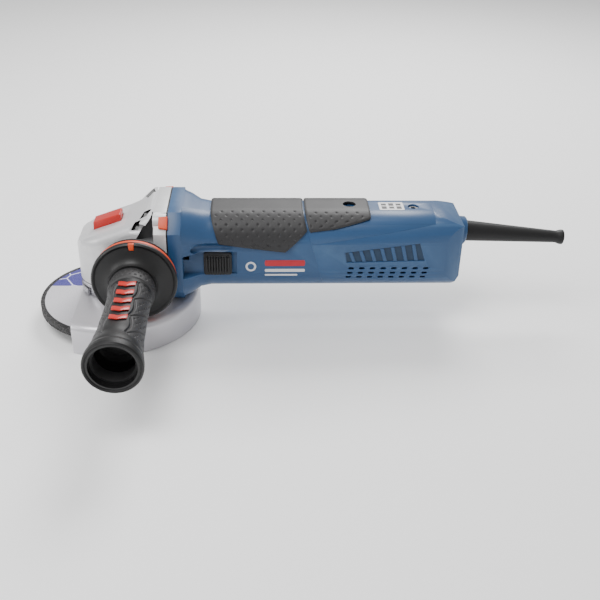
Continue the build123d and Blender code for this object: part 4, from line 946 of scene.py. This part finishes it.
# Louvres: the top and foot lines are (height, x), all in mm from the motor axis
ribStyle = {"count": 7, "first": 194.0, "pitch": 8.3, "lean": -3.4 * mm, "half": 1.5 * mm, "depth": 1.05 * mm,
            "root": 0.2 * mm, "edge": 0.45 * mm, "edgeSegments": 3, "sink": 1.2 * mm,
            "top": ((4.4, 190), (12.4, 250)), "foot": ((4.2, 188), (2.8, 250)), "floor": (0.3 * mm, 0.06 * mm),
            "panel": ((187, 4.3), (245.6, 12.1), (250.4, -2.8), (188.6, -4.2))}


def buildRearShells():
    soften(copyNode("rear_lower_shell", "rearLowerShell", "bluePlastic"), housingStyle["lowerEdge"])
    soften(copyNode("rear_upper_shell", "rearUpperShell", "bluePlastic"), housingStyle["upperEdge"])
    style = ribStyle
    panelY = gripHalfW - style["sink"]
    lean, half = style["lean"], style["half"]
    below, above = style["floor"]
    for side, label in ((-1, "Left"), (1, "Right")):
        outline = [(x * mm, axisZ + z * mm) for x, z in style["panel"]]
        # Dark blue plate on the panel floor behind the ribs: painted shade in the recess
        shadePlate = prism(outline, side * (panelY - below), side * (panelY + above))
        keepPrism(shadePlate, f"louvreShadeFloor{label}", "bluePaintedShade")
        for i in range(style["count"]):
            place = style["first"] + i * style["pitch"]
            x = place * mm
            top = axisZ + alongLine(style["top"], place) * mm
            foot = axisZ - alongLine(style["foot"], place) * mm
            rib = prism([(x - half, foot), (x + half, foot), (x + half + lean, top), (x - half + lean, top)],
                        side * (panelY - style["root"]), side * (panelY + style["depth"]))
            keepPrism(rib, f"louvreRib{label}{i + 1}", "bluePlastic")
            soften(rib, style["edge"], segments=style["edgeSegments"])


buildRearShells()

stickerStyle = {"columns": 3, "rows": 2, "firstX": 0.2, "stepX": 0.3, "firstY": 0.3, "stepY": 0.4,
                "halfX": 0.10, "halfY": (0.16, 0.12), "root": 0.05 * mm, "proud": 0.08 * mm}


# Plain dark blocks on the sticker, as shares of its size
def buildStickerBlocks():
    style = stickerStyle
    low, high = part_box("rating_sticker")
    size = high - low
    for i in range(style["columns"]):
        for j in range(style["rows"]):
            x = low.x + size.x * (style["firstX"] + style["stepX"] * i)
            y = low.y + size.y * (style["firstY"] + style["stepY"] * j)
            w, h = size.x * style["halfX"], size.y * style["halfY"][(i + j) % 2]
            block = prism([(x - w, y - h), (x + w, y - h), (x + w, y + h), (x - w, y + h)],
                          high.z - style["root"], high.z + style["proud"], axis="z")
            keepPrism(block, f"stickerBlock{i}{j}", "blackPlastic")


buildStickerBlocks()

trimTable = (
    ("lock_button", "lockButton", "redPlastic", "red_plastic", 0.5),
    ("cord_boot", "cordBoot", "softBlack", "soft_black", 0.3),
    ("switch_slider", "switchSlider", "blackPlastic", "black_plastic", 0.35),
    ("sealing_ring", "sealingRing", "softBlack", "soft_black", 0.2),
)
buildCopies(trimTable)

tabStyle = {"front": 5.6 * mm, "chamfer": 13 * mm, "width": 10.5 * mm, "proud": 2.5 * mm, "root": -1.0 * mm,
            "edge": 0.5 * mm, "edgeSegments": 3, "frontShare": 0.86, "clear": 0.3 * mm}


# Soft orange tabs of the seal, one on each upper chamfered corner of the rear block
def buildSealTabs():
    style = tabStyle
    low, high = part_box("sealing_ring")
    middleZ = (low.z + high.z) / 2
    halfY, halfZ = high.y + style["clear"], (high.z - low.z) / 2 + style["clear"]
    for sideY, label in ((-1, "UpperLeft"), (1, "UpperRight")):
        cornerY = sideY * (halfY - style["chamfer"] / 2)
        cornerZ = middleZ + halfZ - style["chamfer"] / 2
        along = Vector((0, sideY, -1)).normalized()
        out = Vector((0, sideY, 1)).normalized()
        vertices = []
        for x, share in ((low.x - style["front"], style["frontShare"]), (high.x, 1.0)):
            reach = style["width"] / 2 * share
            for step, rise in ((-reach, style["root"]), (reach, style["root"]), (reach, style["proud"]),
                               (-reach, style["proud"])):
                vertices.append(tuple(Vector((x, cornerY, cornerZ)) + along * step + out * rise))
        tab = newPiece(f"sealTab{label}", vertices, boxFaces, "orangeRubber", "housing")
        fixNormals(tab)
        soften(tab, style["edge"], segments=style["edgeSegments"])


buildSealTabs()
print("housings done")

coilStyle = {"turns": 3.5, "wire": 0.34 * mm, "clear": 0.06 * mm, "steps": 40, "sides": 10, "crease": 60,
             "pressed": 0.03}


# Coil spring under the lock button
def buildLockSpring():
    style = coilStyle
    low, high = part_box("lock_spring")
    middle = (low + high) / 2
    radius = (high.x - low.x) / 2 - style["wire"] - style["clear"]
    rise = high.z - low.z - 2 * style["wire"]
    sides = style["sides"]
    count = int(style["turns"] * style["steps"]) + 1
    vertices = []
    for i in range(count):
        share = i / (count - 1)
        angle = 2 * math.pi * style["turns"] * share
        outward = Vector((math.cos(angle), math.sin(angle), 0))
        centre = Vector((middle.x, middle.y, low.z + style["wire"] + rise * share)) + outward * radius
        for j in range(sides):
            turn = 2 * math.pi * j / sides
            ring = outward * math.cos(turn) + Vector((0, 0, 1)) * math.sin(turn)
            vertices.append(tuple(centre + ring * style["wire"]))
    faces = gridFaces(count, sides, closed=True)
    faces += [tuple(range(sides)), tuple(range((count - 1) * sides, count * sides))]
    spring = newPiece("lockSpring", vertices, faces, "brightSteel", "housing")
    fixNormals(spring)
    smoothShade(spring, style["crease"])
    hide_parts("lock_spring")
    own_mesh(spring)


buildLockSpring()


# Finishes of the CAD nodes that stay as they are
slotFinish = {"cast_metal": "castMetal", "blue_plastic": "bluePlastic", "soft_black": "softBlack",
              "black_plastic": "blackPlastic", "orange_rubber": "orangeRubber", "red_plastic": "redPlastic",
              "guard_steel": "guardSteel", "steel": "brightSteel", "dark_steel": "darkSteel",
              "abrasive": "abrasiveGrit", "printed_paper": "labelPrint", "copper": "copper", "carbon": "carbon",
              "grey_plastic": "greyPlastic"}
nodeFinish = {"rating_sticker": "stickerPaper", "handle_core": "glossBlack", "gear_screws": "darkSteel",
              "shell_screws": "darkSteel"}
for entry in frame["record"]["subparts"]:
    piece = nodes[entry["node"]]
    setFinish(piece, nodeFinish.get(entry["node"], slotFinish[entry["material_slot"]]))


stageStyle = {"floorHalf": 6.0, "floorGap": 0.5 * mm, "floorColor": (0.93, 0.93, 0.93, 1), "floorRoughness": 0.85,
              "worldStrength": 0.62, "aim": (0.12, 0, 0.03)}
lights = {
    "keyLight": {"place": (-0.25, -0.45, 1.25), "size": 0.7, "power": 14.0},
    "rimLight": {"place": (0.35, 0.85, 0.95), "size": 0.6, "power": 17.0},
    "sideLight": {"place": (-0.9, -0.3, 0.5), "size": 0.4, "power": 4.0},
}


# Floor and light
def buildStage():
    half = stageStyle["floorHalf"]
    floorZ = cadBounds[0][2] - stageStyle["floorGap"]
    mesh = newMesh("floor", [(-half, -half, floorZ), (half, -half, floorZ), (half, half, floorZ),
                             (-half, half, floorZ)], [(0, 1, 2, 3)])
    floor = addObject("floor", mesh)
    material, _, shader = startMaterial("paleFloor", stageStyle["floorRoughness"], 0.0)
    shader.inputs["Base Color"].default_value = stageStyle["floorColor"]
    mesh.materials.append(material)
    world = bpy.data.worlds.new("paleWorld")
    bpy.context.scene.world = world
    world.use_nodes = True
    background = world.node_tree.nodes["Background"]
    background.inputs["Color"].default_value = (1, 1, 1, 1)
    background.inputs["Strength"].default_value = stageStyle["worldStrength"]
    for name, style in lights.items():
        lamp = bpy.data.lights.new(name, "AREA")
        lamp.energy = style["power"]
        lamp.size = style["size"]
        light = addObject(name, lamp)
        light.location = style["place"]
        aim = Vector(stageStyle["aim"]) - Vector(style["place"])
        light.rotation_euler = aim.to_track_quat("-Z", "Y").to_euler()


view = {"elevation": 30.33, "azimuth": -3.3, "roll": 1.39, "distance": 0.72424, "lens": 50.95,
        "sensorWidth": 36, "nearest": 0.01, "target": (0.1533, 0.0, -0.0047)}


def buildCamera():
    rise, swing = math.radians(view["elevation"]), math.radians(view["azimuth"])
    back = Vector((math.sin(swing) * math.cos(rise), -math.cos(swing) * math.cos(rise), math.sin(rise)))
    camera = addObject("camera", bpy.data.cameras.new("camera"))
    camera.data.lens = view["lens"]
    camera.data.sensor_width = view["sensorWidth"]
    camera.data.clip_start = view["nearest"]
    look = (-back).to_track_quat("-Z", "Y").to_matrix().to_4x4()
    camera.matrix_world = (Matrix.Translation(Vector(view["target"]) + back * view["distance"]) @ look
                           @ Matrix.Rotation(math.radians(view["roll"]), 4, "Z"))
    bpy.context.scene.camera = camera


buildStage()
buildCamera()
print("stage and camera done")
